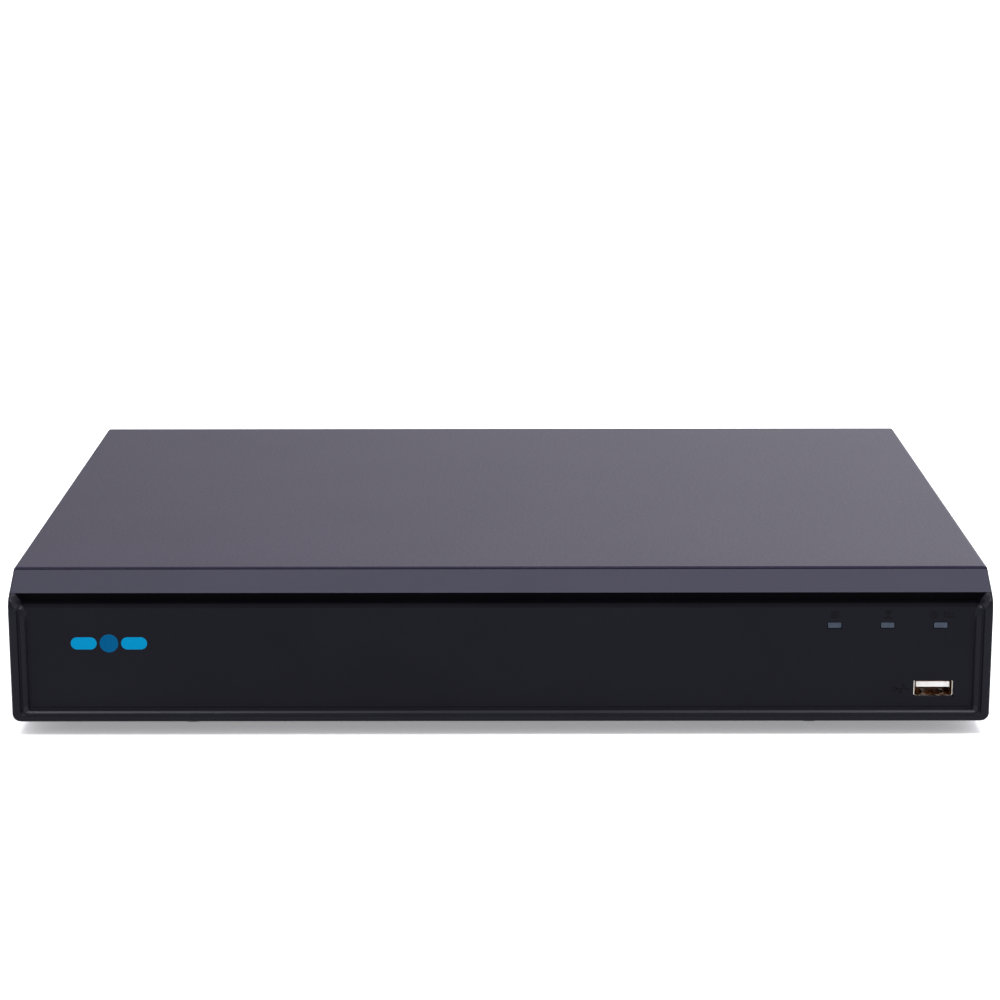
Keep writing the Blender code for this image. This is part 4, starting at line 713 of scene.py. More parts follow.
@dataclass
class FrontMoulding:
    """The bezel: flat rim, ridge and groove round a recessed panel, undercut visor, sloped top.

    Sections are read off points of place and depth, in millimetres.
    """

    edge: float = 0.8
    wall: float = 2.4
    panel_depth: float = 2.2
    recess_half: float = 159.9
    recess_low: float = 7.15
    recess_high: float = 45.9
    side_scale: float = 0.65
    low_corner: float = 1.6
    high_corner: float = 2.6
    outer_corner: float = 2.8
    facet_foot: float = 158.9
    facet_width: float = 3.8
    back: float = 13.3
    tip: float = 48.85
    ledge_low: float = 44.05
    ledge_high: float = 45.3
    knee: float = 154.0
    gap_below: float = 0.25
    window: tuple[float, float] = (4.85, 2.25)
    lens_gap: float = 0.4
    usb: tuple[float, float] = (13.3, 5.65)

    def __post_init__(self) -> None:
        """Read the places of bezel, windows and socket from the CAD, and set the sections."""
        low, high = corners("front_bezel")
        self.front = low[1]
        self.half = high[0]
        self.bottom = low[2] + self.gap_below
        self.top = high[2]
        guide_top = corners("light_guide_1")[1][2]
        self.window_z = guide_top - (self.window[1] - self.lens_gap) / 2
        self.windows = [middle(f"light_guide_{number}")[0] for number in (1, 2, 3)]
        self.usb_at = middle("front_usb_shell")[[0, 2]]
        flat, tip, ends = self.panel_depth, self.tip, (self.top, self.back)
        self.visor = [(0, flat), (44, flat), (44.9, 3.3), (45.7, 4.5), (48.3, 3.7), (tip, 3.4)]
        self.visor += [(tip + 0.25, 3.88), ends]
        self.rim = [(0, 0), (42, 0), (44.5, 0.2), (46.5, 0.8), (47.9, 1.7), (tip, 3.4), ends]
        self.fall = [(0, 0), (0.1, 0.02), (0.3, 0.4), (0.45, 0.5), (0.75, 0.5), (1, 0.62)]
        self.fall += [(1.65, 1.3), (1.85, 1.7), (2.1, 2.2), (2.8, 2.2)]
        self.valley = [(0.05, 0), (0.35, 0.42), (0.6, 0.3), (0.85, 0)]
        self.crease = [(1.75, 0), (2.1, 0.18), (2.8, 0)]

    def lines(self) -> tuple[np.ndarray, np.ndarray]:
        """Where the grid's columns and rows lie: close at edges and on every opening's sides."""
        inner = self.half - self.edge
        across = np.concatenate([np.linspace(0, 150, 21), np.arange(151, inner, 0.22), [inner]])
        up = [
            np.arange(self.bottom + self.edge, 12.6, 0.15),
            np.linspace(12.8, 38, 14),
            np.arange(39.6, self.tip - 0.35, 0.2),
            self.tip + np.array([-0.25, -0.1, 0.0, 0.1, 0.3]),
            np.linspace(self.tip + 0.8, self.top, 9),
        ]
        holes = np.array(self.holes())
        sides = np.concatenate([holes[:, 0] - holes[:, 2] / 2, holes[:, 0] + holes[:, 2] / 2])
        levels_kept = np.concatenate([holes[:, 1] - holes[:, 3] / 2, holes[:, 1] + holes[:, 3] / 2])
        both_ways = np.concatenate([-across, across])
        return self.merged(both_ways, sides), self.merged(np.concatenate(up), levels_kept)

    def holes(self) -> list[tuple[float, float, float, float]]:
        """Middle, width and height of each opening: the socket's, then the windows'."""
        return [(*self.usb_at, *self.usb)] + [(x, self.window_z, *self.window) for x in self.windows]

    def merged(self, base: np.ndarray, kept: np.ndarray) -> np.ndarray:
        """Sorted stations, without any base station that lies almost on a kept one."""
        far = np.min(abs(base[:, None] - kept[None, :]), axis=1) > 0.12
        return np.unique(np.round(np.concatenate([base[far], kept]), 5))

    def recess_inset(self, x: np.ndarray, z: np.ndarray) -> np.ndarray:
        """How far a point lies inside the recess, counted slower along x than along z.

        It is the distance to a rectangle with round corners.
        """
        side = (self.recess_half - abs(x)) * self.side_scale
        below, above = z - self.recess_low, self.recess_high - z
        radius = np.where(below < above, self.low_corner, self.high_corner)
        upright = np.minimum(below, above)
        corner = radius - np.hypot(np.maximum(radius - side, 0), np.maximum(radius - upright, 0))
        in_corner = (side < radius) & (upright < radius)
        return np.where(in_corner, corner, np.minimum(side, upright))

    def side_share(self, x: np.ndarray, z: np.ndarray) -> np.ndarray:
        """1 on the side rims and below, 0 under the visor, with a slanting facet between."""
        centre = self.facet_foot + (z - 45.0) * 0.6
        t = np.clip((abs(x) - centre) / self.facet_width + 0.5, 0, 1)
        return np.where(z < 25, 1.0, t * t * (3 - 2 * t))

    def depth(self, x: np.ndarray, z: np.ndarray) -> np.ndarray:
        """Depth of the face behind its foremost plane.

        Outside the recess it follows the rim or the visor, whichever side_share says. Inside it
        drops into a narrow valley, rises over a bevelled ridge and ends in a shallow crease
        round the panel.
        """
        share = self.side_share(x, z)
        outside = read_off(z, self.visor) * (1 - share) + read_off(z, self.rim) * share
        q = self.recess_inset(x, z)
        along_side = np.clip(z - self.recess_low - (self.recess_half - abs(x)), 0, 1)
        valley = read_off(q, self.valley) * (0.15 + 0.85 * along_side)
        drop = read_off(q, self.fall) + read_off(q, self.crease) + valley
        room = np.clip(1 - outside / self.panel_depth, 0, 1)
        return np.where(q > 0, outside + room * drop, outside)

    def face(self) -> tuple[np.ndarray, np.ndarray, np.ndarray]:
        """The face as a grid of points, its columns drawn in at the round lower corners."""
        across, up = self.lines()
        x, z = np.meshgrid(across, up)
        small = self.outer_corner - self.edge
        centre = self.bottom + self.outer_corner
        inner = self.half - self.edge
        drop = np.clip(centre - z, 0, small)
        reach = inner - small + np.sqrt(np.maximum(small**2 - drop**2, 0))
        beyond = np.maximum(abs(x) - self.knee, 0)
        drawn = beyond * (reach - self.knee) / (inner - self.knee)
        x = np.sign(x) * (np.minimum(abs(x), self.knee) + drawn)
        return np.stack([x, self.depth(x, z), z], axis=-1), across, up

    def skirt(self, points: np.ndarray) -> tuple[np.ndarray, np.ndarray]:
        """Rings from the face's edge round to the side walls and back to the case.

        Each edge point has an outward direction n in the plane of the face and a forward
        direction m. A ring at angle t lies at the point + edge sin t n - edge (1 - cos t) m.
        """
        rows, columns = points.shape[:2]
        down = np.arange(rows - 1, 0, -1) * columns
        path = np.concatenate([down, np.arange(columns), down[::-1] + columns - 1])
        base = points.reshape(-1, 3)[path]
        small = self.outer_corner - self.edge
        centre_x = self.half - self.outer_corner
        centre_z = self.bottom + self.outer_corner
        nx = np.sign(base[:, 0]) * np.maximum(abs(base[:, 0]) - centre_x, 0) / small
        nz = np.minimum(base[:, 2] - centre_z, 0) / small
        length = np.maximum(np.hypot(nx, nz), 1e-9)
        nx, nz = nx / length, nz / length
        slope = np.gradient(points[:, 0, 1], points[:, 0, 2])
        slope = np.concatenate([slope[:0:-1], np.zeros(columns), slope[1:]])
        slope = np.where(nz < -0.01, 0, slope)
        norm = np.hypot(1, slope)
        rings = []
        for t in np.linspace(0, pi / 2, 6)[1:]:
            out, back = self.edge * np.sin(t), self.edge * (1 - np.cos(t))
            ring = base.copy()
            ring[:, 0] += out * nx
            ring[:, 1] = np.minimum(ring[:, 1] + back / norm, self.back)
            ring[:, 2] += out * nz - back * slope / norm
            rings.append(ring)
        last = rings[-1].copy()
        last[:, 1] = self.back
        return np.stack([*rings, last]), path

    def inner(self, points: np.ndarray) -> np.ndarray:
        """The wall's inner side: every outer point drawn in by about the wall's thickness."""
        made = points.copy()
        within = [(0, 0), (155, 155), (self.half, self.half - self.wall)]
        heights = [(self.bottom, self.bottom + self.wall), (8, 8.8), (12, 12), (40, 40), (44, 43.4)]
        heights += [(self.tip, 47.1), (self.top, self.top - 2.6)]
        made[:, 0] = np.sign(points[:, 0]) * read_off(abs(points[:, 0]), within)
        made[:, 1] = np.clip(points[:, 1] + self.wall, self.panel_depth + self.wall, self.back)
        made[:, 2] = read_off(points[:, 2], heights)
        return made

    def open_mask(self, centre: np.ndarray) -> np.ndarray:
        """True for the face's quads that lie inside a window or the socket's opening."""
        mask = np.zeros(len(centre), bool)
        for x, z, width, height in self.holes():
            mask |= (abs(centre[:, 0] - x) < width / 2) & (abs(centre[:, 2] - z) < height / 2)
        return mask

    def regions(self, centre: np.ndarray) -> np.ndarray:
        """Finish number by place: 0 rim, 1 slope, 2 undercut (painted shade), 3 panel, 4 ledge (painted
        shade), 5 ridge.
        """
        x, z = centre[:, 0], centre[:, 2]
        share = self.side_share(x, z)
        under = share < 0.2
        slope = z > self.tip + 0.02
        # The undercut's finish is painted shade: near-black, with almost no shine
        undercut = (z > self.ledge_high) & ~slope & under
        # The ledge's finish is painted shade, darker and duller than the panel
        ledge = (z > self.ledge_low) & (z <= self.ledge_high) & under
        q = self.recess_inset(x, z)
        panel = ((q > 2.0) | (under & (z > 25))) & (z <= self.ledge_low)
        low_bevel = (q > 0.9) & (q <= 1.85) & (z < self.recess_low + 3.2)
        ridge = low_bevel | ((share < 0.99) & (z > 43.5))
        return np.select([slope, undercut, ledge, panel, ridge], [1, 2, 4, 3, 5], 0)

    def shell(self) -> Surface:
        """Face and skirt as one outer sheet, the inner sheet, and the walls that join them."""
        points, across, up = self.face()
        rows, columns = len(up), len(across)
        rings, path = self.skirt(points)
        outer = np.concatenate([points.reshape(-1, 3), rings.reshape(-1, 3)])
        quads = grid_quads(rows, columns)
        kept = quads[~self.open_mask(outer[quads].mean(axis=1))]
        groups = self.regions(outer[kept].mean(axis=1))
        added = rows * columns + np.arange(rings.size // 3).reshape(rings.shape[:2])
        index = np.concatenate([path[None], added])
        turn = index[:-1, :-1], index[:-1, 1:], index[1:, 1:], index[1:, :-1]
        around = np.stack([c.ravel() for c in turn], axis=1)
        around_groups = np.where(outer[around].mean(axis=1)[:, 2] > 49.0, 1, 0)
        sheet = np.concatenate([kept, around])
        total = len(outer)
        edges = np.stack([sheet, np.roll(sheet, -1, axis=1)], axis=-1).reshape(-1, 2)
        key = np.sort(edges, axis=1) @ np.array([total, 1])
        _, position, uses = np.unique(key, return_index=True, return_counts=True)
        rim = edges[position[uses == 1]]
        walls = np.stack([rim[:, 1], rim[:, 0], rim[:, 0] + total, rim[:, 1] + total], axis=1)
        both = np.concatenate([outer, self.inner(outer)])
        both[:, 1] += self.front
        inside = sheet[:, ::-1] + total
        numbers = np.concatenate([groups, around_groups, np.full(len(walls) + len(inside), 3)])
        return Surface(both, [np.concatenate([sheet, walls, inside])], [numbers])

    def clips(self) -> Surface:
        """Snap hooks behind the panel: a barbed outline carried across each clip's width."""
        hook = [(-0.8, 5.4), (0.8, 5.4), (0.8, 15.6), (1.5, 15.9), (1.5, 16.4), (0.1, 17.2), (-0.8, 17.2)]
        section = slab(np.array(hook)[::-1], -4, 4, 0.15, 2)
        height, depth, across = section.points.T
        made = []
        middle_z = 26.0
        for x in (-135.0, -60.0, 60.0, 86.0):
            points = np.column_stack([x + across, self.front + depth, middle_z + height])
            made.append(Surface(points, section.polygons))
        return together(made).painted(3)

    def build(self) -> None:
        """Make the bezel, its printed signs and badge, and dress the light guides."""
        surface = self.shell().joined(self.clips())
        finishes = [ABS_RIM, ABS_SATIN, ABS_UNDERCUT_SHADE, ABS_FLAT, ABS_LEDGE_SHADE, ABS_RIDGE]
        piece("bezel_moulding", surface, finishes, stands_for=("front_bezel",),
              sharp=38)
        self.badge()
        self.signs()
        self.lenses()

    def print_at(self, outline: np.ndarray, x: float, z: float, group: int = 0) -> Surface:
        """A printed patch on the panel, a few hundredths of a millimetre thick."""
        patch = slab(outline, -0.05, 0.05, 0.02, 1).painted(group)
        return patch.placed((x, self.front + self.panel_depth, z), Facing.FRONT)

    def badge(self) -> None:
        """A plain generic badge: two light bars and a deeper dot between them."""
        bar = rounded_outline(8.6, 4.2, 2.09, 10)
        x, z, apart = -129.75, 31.9, 8.35
        bar = rounded_outline(8.6, 4.2, 2.09, 10)
        dot = self.print_at(circle_outline(3.1), x, z, 1)
        bars = [self.print_at(bar, x + side * apart, z) for side in (-1, 1)]
        piece("panel_badge", together([*bars, dot]), [INK_LIGHT, INK_DEEP])

    def ring_print(
        self, radius: float, width: float, x: float, z: float, start: float = 0.0, sweep: float = 2 * pi
    ) -> Surface:
        """Part of a printed ring: the band between two radii over a sweep of angle."""
        closed = sweep >= 2 * pi
        t = np.linspace(start, start + sweep, 28, endpoint=not closed)
        outer = np.stack([np.cos(t), np.sin(t)], axis=1) * radius
        inner_side = outer * (radius - width) / radius
        if not closed:
            return self.print_at(np.concatenate([outer, inner_side[::-1]]), x, z)
        made = tube(outer, inner_side, -0.05, 0.05, 0.01)
        return made.placed((x, self.front + self.panel_depth, z), Facing.FRONT)

    def grown(self, parts: list[Surface], x: float, z: float, factor: float) -> Surface:
        """Several prints as one, enlarged across the panel about a point."""
        made = together(parts)
        made.points[:, 0] = x + (made.points[:, 0] - x) * factor
        made.points[:, 2] = z + (made.points[:, 2] - z) * factor
        return made

    def signs(self) -> None:
        """Faint printed signs: power, network and disk over the windows, a plug by the socket."""
        z = self.window_z + 3.6
        stem, thin = rounded_outline(0.45, 1.5, 0.2, 3), rounded_outline(0.4, 1.0, 0.18, 3)
        flat, wide = rounded_outline(2.4, 0.42, 0.2, 3), rounded_outline(4.2, 0.4, 0.18, 3)
        x1, x2, x3 = self.windows
        ux, uz = self.usb_at[0] - 13.0, self.usb_at[1]
        power = [
            self.ring_print(1.05, 0.35, x3 - 2.2, z - 0.1, radians(125), radians(290)),
            self.print_at(stem, x3 - 2.2, z + 0.5),
            self.ring_print(0.9, 0.32, x3 + 1.7, z),
            self.print_at(flat, x3 + 3.4, z - 0.7),
            self.print_at(thin, x3 + 3.4, z + 0.3),
        ]
        network = [
            self.print_at(flat, x2, z - 0.9),
            self.print_at(thin, x2, z - 0.3),
            self.print_at(rounded_outline(1.6, 1.1, 0.2, 3), x2, z + 0.7),
        ]
        disk = [self.print_at(flat, x1, z + drop) for drop in (0.8, 0.0, -0.8)]
        plug = [
            self.print_at(wide, ux + 2.4, uz),
            self.ring_print(0.75, 0.3, ux, uz),
            self.print_at(circle_outline(0.5, 20), ux + 2.7, uz + 1.0),
            self.print_at(circle_outline(0.5, 20), ux + 1.8, uz - 1.0),
        ]
        whole = [
            self.grown(power, x3, z, 1.1),
            self.grown(network, x2, z, 1.25),
            self.grown(disk, x1, z, 1.1),
            self.grown(plug, ux, uz, 1.1),
        ]
        piece("panel_signs", together(whole), [INK_SHADOW])

    def lenses(self) -> None:
        """Light guides: a frosted face, gently crowned, and the bent bar behind each."""
        width, height = (size - self.lens_gap for size in self.window)
        behind, half = self.panel_depth + 2.3, 0.88
        bend = [(20.0, -1.7), (20.0, -23.0), (21.8, -23.0), (21.8, -1.2), (20.4, half)]
        section = np.array([(behind, half), (behind, -half), (19.2, -half), *bend])
        bar = slab(section, -2.1, 2.1, 0.15, 2)
        depth, up, across = bar.points.T
        for number, x in enumerate(self.windows, start=1):
            name = f"light_guide_{number}"
            face = slab(rounded_outline(width, height, 0.25, 4), 0, 2.4, 0.18, 3)
            face = face.placed((x, self.front + behind + 0.05, self.window_z), Facing.FRONT)
            z = np.maximum(self.window_z + up, corners(name)[0][2])
            duct = Surface(np.column_stack([x + across, self.front + depth, z]), bar.polygons)
            piece(f"indicator_lens_{number}", face.joined(duct), [FROSTED], stands_for=(name,))


@dataclass
class UsbSocket:
    """A USB-A socket: folded shell with flared lips and springs, tongue and four contacts."""

    shell_node: str
    tongue_node: str
    facing: Facing
    tongue_finish: Finish
    set_back: float = 0.0
    wall: float = 0.35

    def build(self) -> None:
        """Make the shell and the contacts, and dress the tongue."""
        low, high = corners(self.shell_node)
        width, height, length = high[0] - low[0], high[2] - low[2], high[1] - low[1]
        length -= self.set_back
        edge = low[1] if self.facing is Facing.FRONT else high[1]
        edge += self.sign() * self.set_back
        x, z = (low[0] + high[0]) / 2, (low[2] + high[2]) / 2
        outer = rounded_outline(width, height, 0.7, 5)
        inner = rounded_outline(width - 2 * self.wall, height - 2 * self.wall, 0.4, 5)
        springs = [self.spring(side, -height / 2 + self.wall + 0.02) for side in (-3.1, 3.1)]
        whole = self.can(outer, inner, length).joined(*springs).placed((x, edge, z), self.facing)
        piece(f"{self.shell_node}_folded", whole, [NICKEL, TIN_DARK],
              stands_for=(self.shell_node,))
        self.contacts(x)
        dress(self.tongue_node, self.tongue_finish)

    def contacts(self, x: float) -> None:
        """Four gold strips on the tongue's lower side."""
        low, high = corners(self.tongue_node)
        start = (low[1] if self.facing is Facing.FRONT else high[1]) + self.sign() * 0.35
        rise, thickness = 0.5, 1.84
        under = high[2] - rise - thickness
        strip = slab(rounded_outline(1.0, 0.2, 0.09, 3), -9.0, 0.0, 0.04, 1)
        places = [(x + beside, start, under - 0.02) for beside in (-3.5, -1.0, 1.0, 3.5)]
        strips = [strip.placed(place, self.facing) for place in places]
        piece(f"{self.tongue_node}_contacts", together(strips), [GOLD])

    def sign(self) -> int:
        """1 where going into the socket is along +Y, -1 where it is along -Y."""
        return 1 if self.facing is Facing.FRONT else -1

    def can(self, outer: np.ndarray, inner: np.ndarray, length: float) -> Surface:
        """The folded shell: outer wall, lip, inner wall and closed rear, as one run of rings."""
        stations = [
            (inset(outer, 0.25), -length), (outer, -length + 0.25), (outer, -0.1),
            (inset(outer, 0.1), 0.0), (inset(inner, -0.06), 0.0), (inner, -0.25),
            (inner, -length + self.wall),
        ]
        rings = levels(stations)
        rows, columns = rings.shape[:2]
        quads = grid_quads(rows, columns, wrap_columns=True)
        inside_from = 5
        groups = np.where(np.arange(len(quads)) // columns >= inside_from, 1, 0)
        return Surface(
            rings.reshape(-1, 3), [quads, end_caps(rows, columns)], [groups, np.array([0, 1])]
        )

    def spring(self, x: float, floor: float) -> Surface:
        """A leaf spring lanced from the floor: a strip that rises and falls as a half sine."""
        thickness = 0.14
        s = np.linspace(0, 1, 14)
        height = floor + 0.45 * np.sin(pi * s) ** 1.5 + thickness
        along = -1.2 - 5.5 * s
        half = 0.75 - 0.25 * s
        sides = [np.stack([x + side * half, height, along], 1) for side in (-1, 1)]
        top = np.stack(sides, 1)
        bottom = top[:, ::-1].copy()
        bottom[..., 1] -= thickness
        ring = np.concatenate([top, bottom], axis=1)
        rows, columns = ring.shape[:2]
        quads = grid_quads(rows, columns, wrap_columns=True)
        return Surface(ring.reshape(-1, 3), [quads, end_caps(rows, columns)])


# ---------------------------------------------------------------- case


@dataclass
class Case:
    """Cover, tray, end plates, screws and feet."""

    def build(self) -> None:
        """Dress the sheet metal, then make the screws and the feet."""
        for name in ("top_cover", "bottom_tray"):
            dress(name, POWDER)
        dress("rear_panel", POWDER_REAR)
        dress("front_bracket", ZINC)
        for name, facing in self.screw_nodes().items():
            self.screw(name, facing)
        for name in ("foot_front_left", "foot_front_right", "foot_rear_left", "foot_rear_right"):
            self.foot(name)

    def screw_nodes(self) -> dict[str, Facing]:
        """Every case screw and the way its head faces."""
        found = {f"rear_screw_{side}": Facing.BACK for side in ("left", "right")}
        found["ground_screw"] = Facing.BACK
        for side, facing in (("left", Facing.LEFT), ("right", Facing.RIGHT)):
            for end in ("front", "rear"):
                found[f"cover_screw_{side}_{end}"] = facing
        return found

    def screw(self, name: str, facing: Facing) -> None:
        """A screw: head with a cross recess, and a threaded shank of alternating radii."""
        low, high = corners(name)
        sunk = facing in (Facing.LEFT, Facing.RIGHT)
        axis = 0 if sunk else 1
        outward = -1 if facing is Facing.LEFT else 1
        length = high[axis] - low[axis]
        if sunk:
            seat, radius, neck = 0.0, 3.15, 1.7
            head = screw_head(radius, 0.0, 2.0, 0.9, 0.02)
            cone = lathe([(radius, -0.02), (1.5, -1.5), (1.5, -1.6), (0.2, -1.6)], 96)
        else:
            seat, radius, neck, rise = 1.8, 2.78, 0.2, 0.42
            head = screw_head(radius, 1.35, 1.75, 1.0, 0.0)
            head.points[:, 2] += rise
            flank = [(0.2, rise), (radius, rise), (radius, 0.05), (radius - 0.15, 0.0), (0.2, 0.0)]
            cone = lathe(flank, 64)
        half_pitch, crest, root = 0.25, 1.42, 1.18
        turns = range(ceil(2 * (length - 2.2)))
        thread = [(crest if i % 2 else root, -neck - half_pitch * i) for i in turns]
        start, end = thread[0][1], thread[-1][1]
        shank = lathe([(0.1, start + 0.3), (1.3, start + 0.25), *thread, (0.4, end - 0.3)], 24)
        at = (low + high) / 2
        at[axis] = (high if outward > 0 else low)[axis] - outward * seat
        whole = head.joined(cone, shank).placed(tuple(at), facing)
        piece(f"{name}_turned", whole, [ZINC], stands_for=(name,), sharp=25)

    def foot(self, name: str) -> None:
        """A turned foot: eased rim, tapered side, and a ring of grip under it."""
        low, high = corners(name)
        centre = (low + high) / 2
        radius, height = (high[0] - low[0]) / 2, high[2] - low[2]
        side = [
            (0.4, height), (radius - 0.25, height), (radius, height - 0.25), (radius, height - 0.5),
            (radius - 0.1, height - 0.7), (radius - 0.9, 0.7), (radius - 1.1, 0.25),
        ]
        grip = [
            (radius - 1.5, 0.0), (radius - 3.0, 0.0), (radius - 3.4, 0.25), (radius - 3.8, 0.8),
            (2.6, 0.8), (2.4, 0.6), (1.6, 0.6), (1.4, 0.8), (0.3, 0.8),
        ]
        profile = side + grip
        piece(f"{name}_moulded", lathe(profile, 64).placed((centre[0], centre[1], 0.0)), [NITRILE],
              stands_for=(name,))


# ---------------------------------------------------------------- rear


@dataclass
class RearSockets:
    """Everything on the rear panel: jacks, sockets, switch, inlet and their printed marks."""

    def build(self) -> None:
        """Make every socket, then the marks beside them."""
        self.panel = corners("rear_panel")[1][1]
        for number in range(1, 9):
            self.bayonet_jack(number)
        self.phono_jack("audio_in_jack", PBT_WHITE)
        self.phono_jack("audio_out_jack", PBT_RED)
        self.network()
        self.video_socket()
        self.hdmi()
        self.terminals()
        self.inlet()
        self.switch()
        for name in ("bnc_housing", "audio_jack_block"):
            dress(name, PBT_BLACK)
        self.marks()

    def bayonet_jack(self, number: int) -> None:
        """Barrel with two lugs, hexagon nut and washer, white insulator and gold centre contact."""
        name = f"bnc_jack_{number}"
        shell = [
            (0.4, -28.4), (4.7, -28.4), (4.8, -28.2), (4.8, -21.1), (4.65, -20.9), (4.8, -20.7),
            (4.8, -12.6), (4.45, -12.3), (4.45, -11.2), (4.8, -10.9), (4.8, -0.45), (4.7, -0.15),
            (4.5, 0.0), (4.15, 0.0), (4.05, -0.15), (4.05, -8.8), (3.6, -9.0), (0.4, -9.0),
        ]
        flats = [(4.3, -22.8), (5.7, -22.8), (6.3, -22.45), (6.3, -21.45), (5.7, -21.1), (4.3, -21.1)]
        disc = [(4.3, -22.95), (6.2, -22.95), (6.25, -22.88), (6.2, -22.8), (4.3, -22.8)]
        nut, washer = lathe(flats, 6, ring=True), lathe(disc, 48, ring=True)
        whole = lathe(shell, 56).joined(nut, washer, self.lug(1), self.lug(-1))
        at = mouth(name)
        piece(f"{name}_turned", whole.placed(at, Facing.BACK), [NICKEL], stands_for=(name,),
              sharp=28)
        sleeve = [
            (1.15, -8.9), (3.3, -8.9), (3.3, -1.9), (3.15, -1.7), (2.3, -1.7), (2.2, -1.9),
            (2.2, -4.5), (1.15, -4.6),
        ]
        contact = [
            (0.3, -8.9), (1.1, -8.9), (1.1, -3.5), (0.95, -3.3), (0.6, -3.3), (0.5, -3.6),
            (0.5, -7.0), (0.3, -7.0),
        ]
        core = lathe(sleeve, 40, ring=True).joined(lathe(contact, 24).painted(1))
        piece(f"{name}_core", core.placed(at, Facing.BACK), [PTFE, GOLD])

    def lug(self, side: int) -> Surface:
        """A bayonet lug: a domed pin standing out of the barrel to one side."""
        pin = lathe([(0.05, 1.15), (0.7, 1.12), (0.95, 0.9), (1.0, -0.6), (0.05, -0.6)], 20)
        along, across, out = pin.points.T
        return Surface(np.column_stack([side * (4.6 + out), across, along - 4.2]), pin.polygons)

    def phono_jack(self, name: str, finish: Finish) -> None:
        """Coloured insulator round a nickel sleeve and a sprung centre contact."""
        cup = [
            (3.1, -0.9), (4.0, -0.9), (4.15, -1.0), (4.15, -12.6), (0.4, -12.6), (0.4, -8.2), (3.1, -8.2),
        ]
        can = [(3.0, -8.1), (3.55, -8.1), (3.6, -0.2), (3.45, 0.0), (3.1, 0.0), (2.95, -0.2)]
        bush = [
            (1.0, -8.1), (2.3, -8.1), (2.3, -1.0), (2.1, -0.8), (1.8, -0.8), (1.7, -1.0), (1.7, -7.9),
            (1.0, -7.9),
        ]
        sleeve = lathe(can, 48, ring=True).painted(1)
        whole = lathe(cup, 48).joined(sleeve, lathe(bush, 40, ring=True))
        piece(f"{name}_moulded", whole.placed(mouth(name), Facing.BACK), [finish, NICKEL],
              stands_for=(name,))

    def network(self) -> None:
        """Contacts in the roof of the network jack, its two lamps and the shield's ears."""
        dress("network_jack", NICKEL)
        x, edge, _ = mouth("network_jack")
        base = corners("network_jack")[0][2]
        s = np.linspace(0, 1, 16)
        wires = []
        for i in range(8):
            beside = np.full_like(s, x + (i - 3.5) * 1.02)
            path = np.column_stack([beside, edge - 2.2 - 8.6 * s, base + 10.9 - 3.0 * s**1.4])
            wires.append(rod(path, 0.2, 8))
        piece("network_contacts", together(wires), [GOLD])
        lens = slab(rounded_outline(2.9, 1.5, 0.3, 4), -0.3, 0.12, 0.08, 2)
        lamps = []
        for side, group in ((-1, 0), (1, 1)):
            lamps.append(lens.placed((x + side * 5.9, edge, base + 12.5), Facing.BACK).painted(group))
        piece("network_lamps", together(lamps), [LAMP_GREEN, LAMP_AMBER])
        outer, inner = rounded_outline(12.0, 7.4, 0.3, 4), rounded_outline(11.4, 6.8, 0.3, 4)
        liner = tube(outer, inner, -11.5, -0.35, 0.05)
        piece("network_liner", liner.placed((x, edge, base + 7.7), Facing.BACK), [PBT_BLACK])

    def video_socket(self) -> None:
        """VGA socket: nickel shell, blue insulator and hexagon jackscrews."""
        dress("vga_shell", NICKEL)
        dress("vga_insulator", PBT_BLUE)
        hexagon = [(1.3, 0.0), (2.35, 0.0), (2.7, -0.35), (2.7, -5.2), (2.5, -5.5), (1.3, -5.5)]
        threaded = [
            (0.3, -5.4), (1.45, -5.4), (1.45, -0.05), (1.3, 0.0), (1.2, -0.1), (1.3, -0.4),
            (1.15, -0.6), (1.3, -0.8), (1.15, -1.0), (1.3, -1.2), (1.15, -4.3), (0.3, -4.3),
        ]
        stem = [(0.3, -5.4), (1.5, -5.45), (1.5, -11.2), (1.2, -11.5), (0.3, -11.5)]
        whole = lathe(hexagon, 6, ring=True).joined(lathe(threaded, 32), lathe(stem, 24))
        for name in ("vga_jackscrew_left", "vga_jackscrew_right"):
            piece(f"{name}_turned", whole.placed(mouth(name), Facing.BACK), [NICKEL],
                  stands_for=(name,), sharp=28)

    def hdmi(self) -> None:
        """HDMI socket: dressed shell and tongue, and its row of contacts."""
        dress("hdmi_shell", NICKEL)
        dress("hdmi_tongue", PBT_BLACK)
        x, edge, z = mouth("hdmi_tongue")
        strip = slab(rounded_outline(0.42, 0.12, 0.05, 3), -6.5, 0, 0.02, 1)
        strips = []
        for i in range(10):
            for side in (-1, 1):
                at = (x + (i - 4.5) * 0.96, edge - 0.3, z + side * 0.62)
                strips.append(strip.placed(at, Facing.BACK))
        piece("hdmi_contacts", together(strips), [GOLD])

    def terminals(self) -> None:
        """Green terminal block with a slotted screw in each well and a clamp in each mouth."""
        dress("terminal_block", NYLON_GREEN)
        low, high = corners("terminal_block")
        x, nose, top = (low[0] + high[0]) / 2, high[1], high[2]
        head = lathe([(0.2, -1.6), (1.12, -1.6), (1.12, -0.75), (0.98, -0.6), (0.2, -0.6)], 24)
        slot_bar = slab(rounded_outline(1.9, 0.34, 0.1, 3), -0.63, -0.58, 0.01, 1).painted(1)
        clamp = slab(rounded_outline(2.0, 0.5, 0.15, 3), -3.4, -2.2, 0.05, 1)
        parts = []
        for i in range(8):
            px = x + (i - 3.5) * 3.5
            parts += [head.placed((px, nose - 3, top)), slot_bar.placed((px, nose - 3, top))]
            parts.append(clamp.placed((px, nose, low[2] + 3.4), Facing.BACK))
        piece("terminal_screws", together(parts), [ZINC, TIN_DARK])

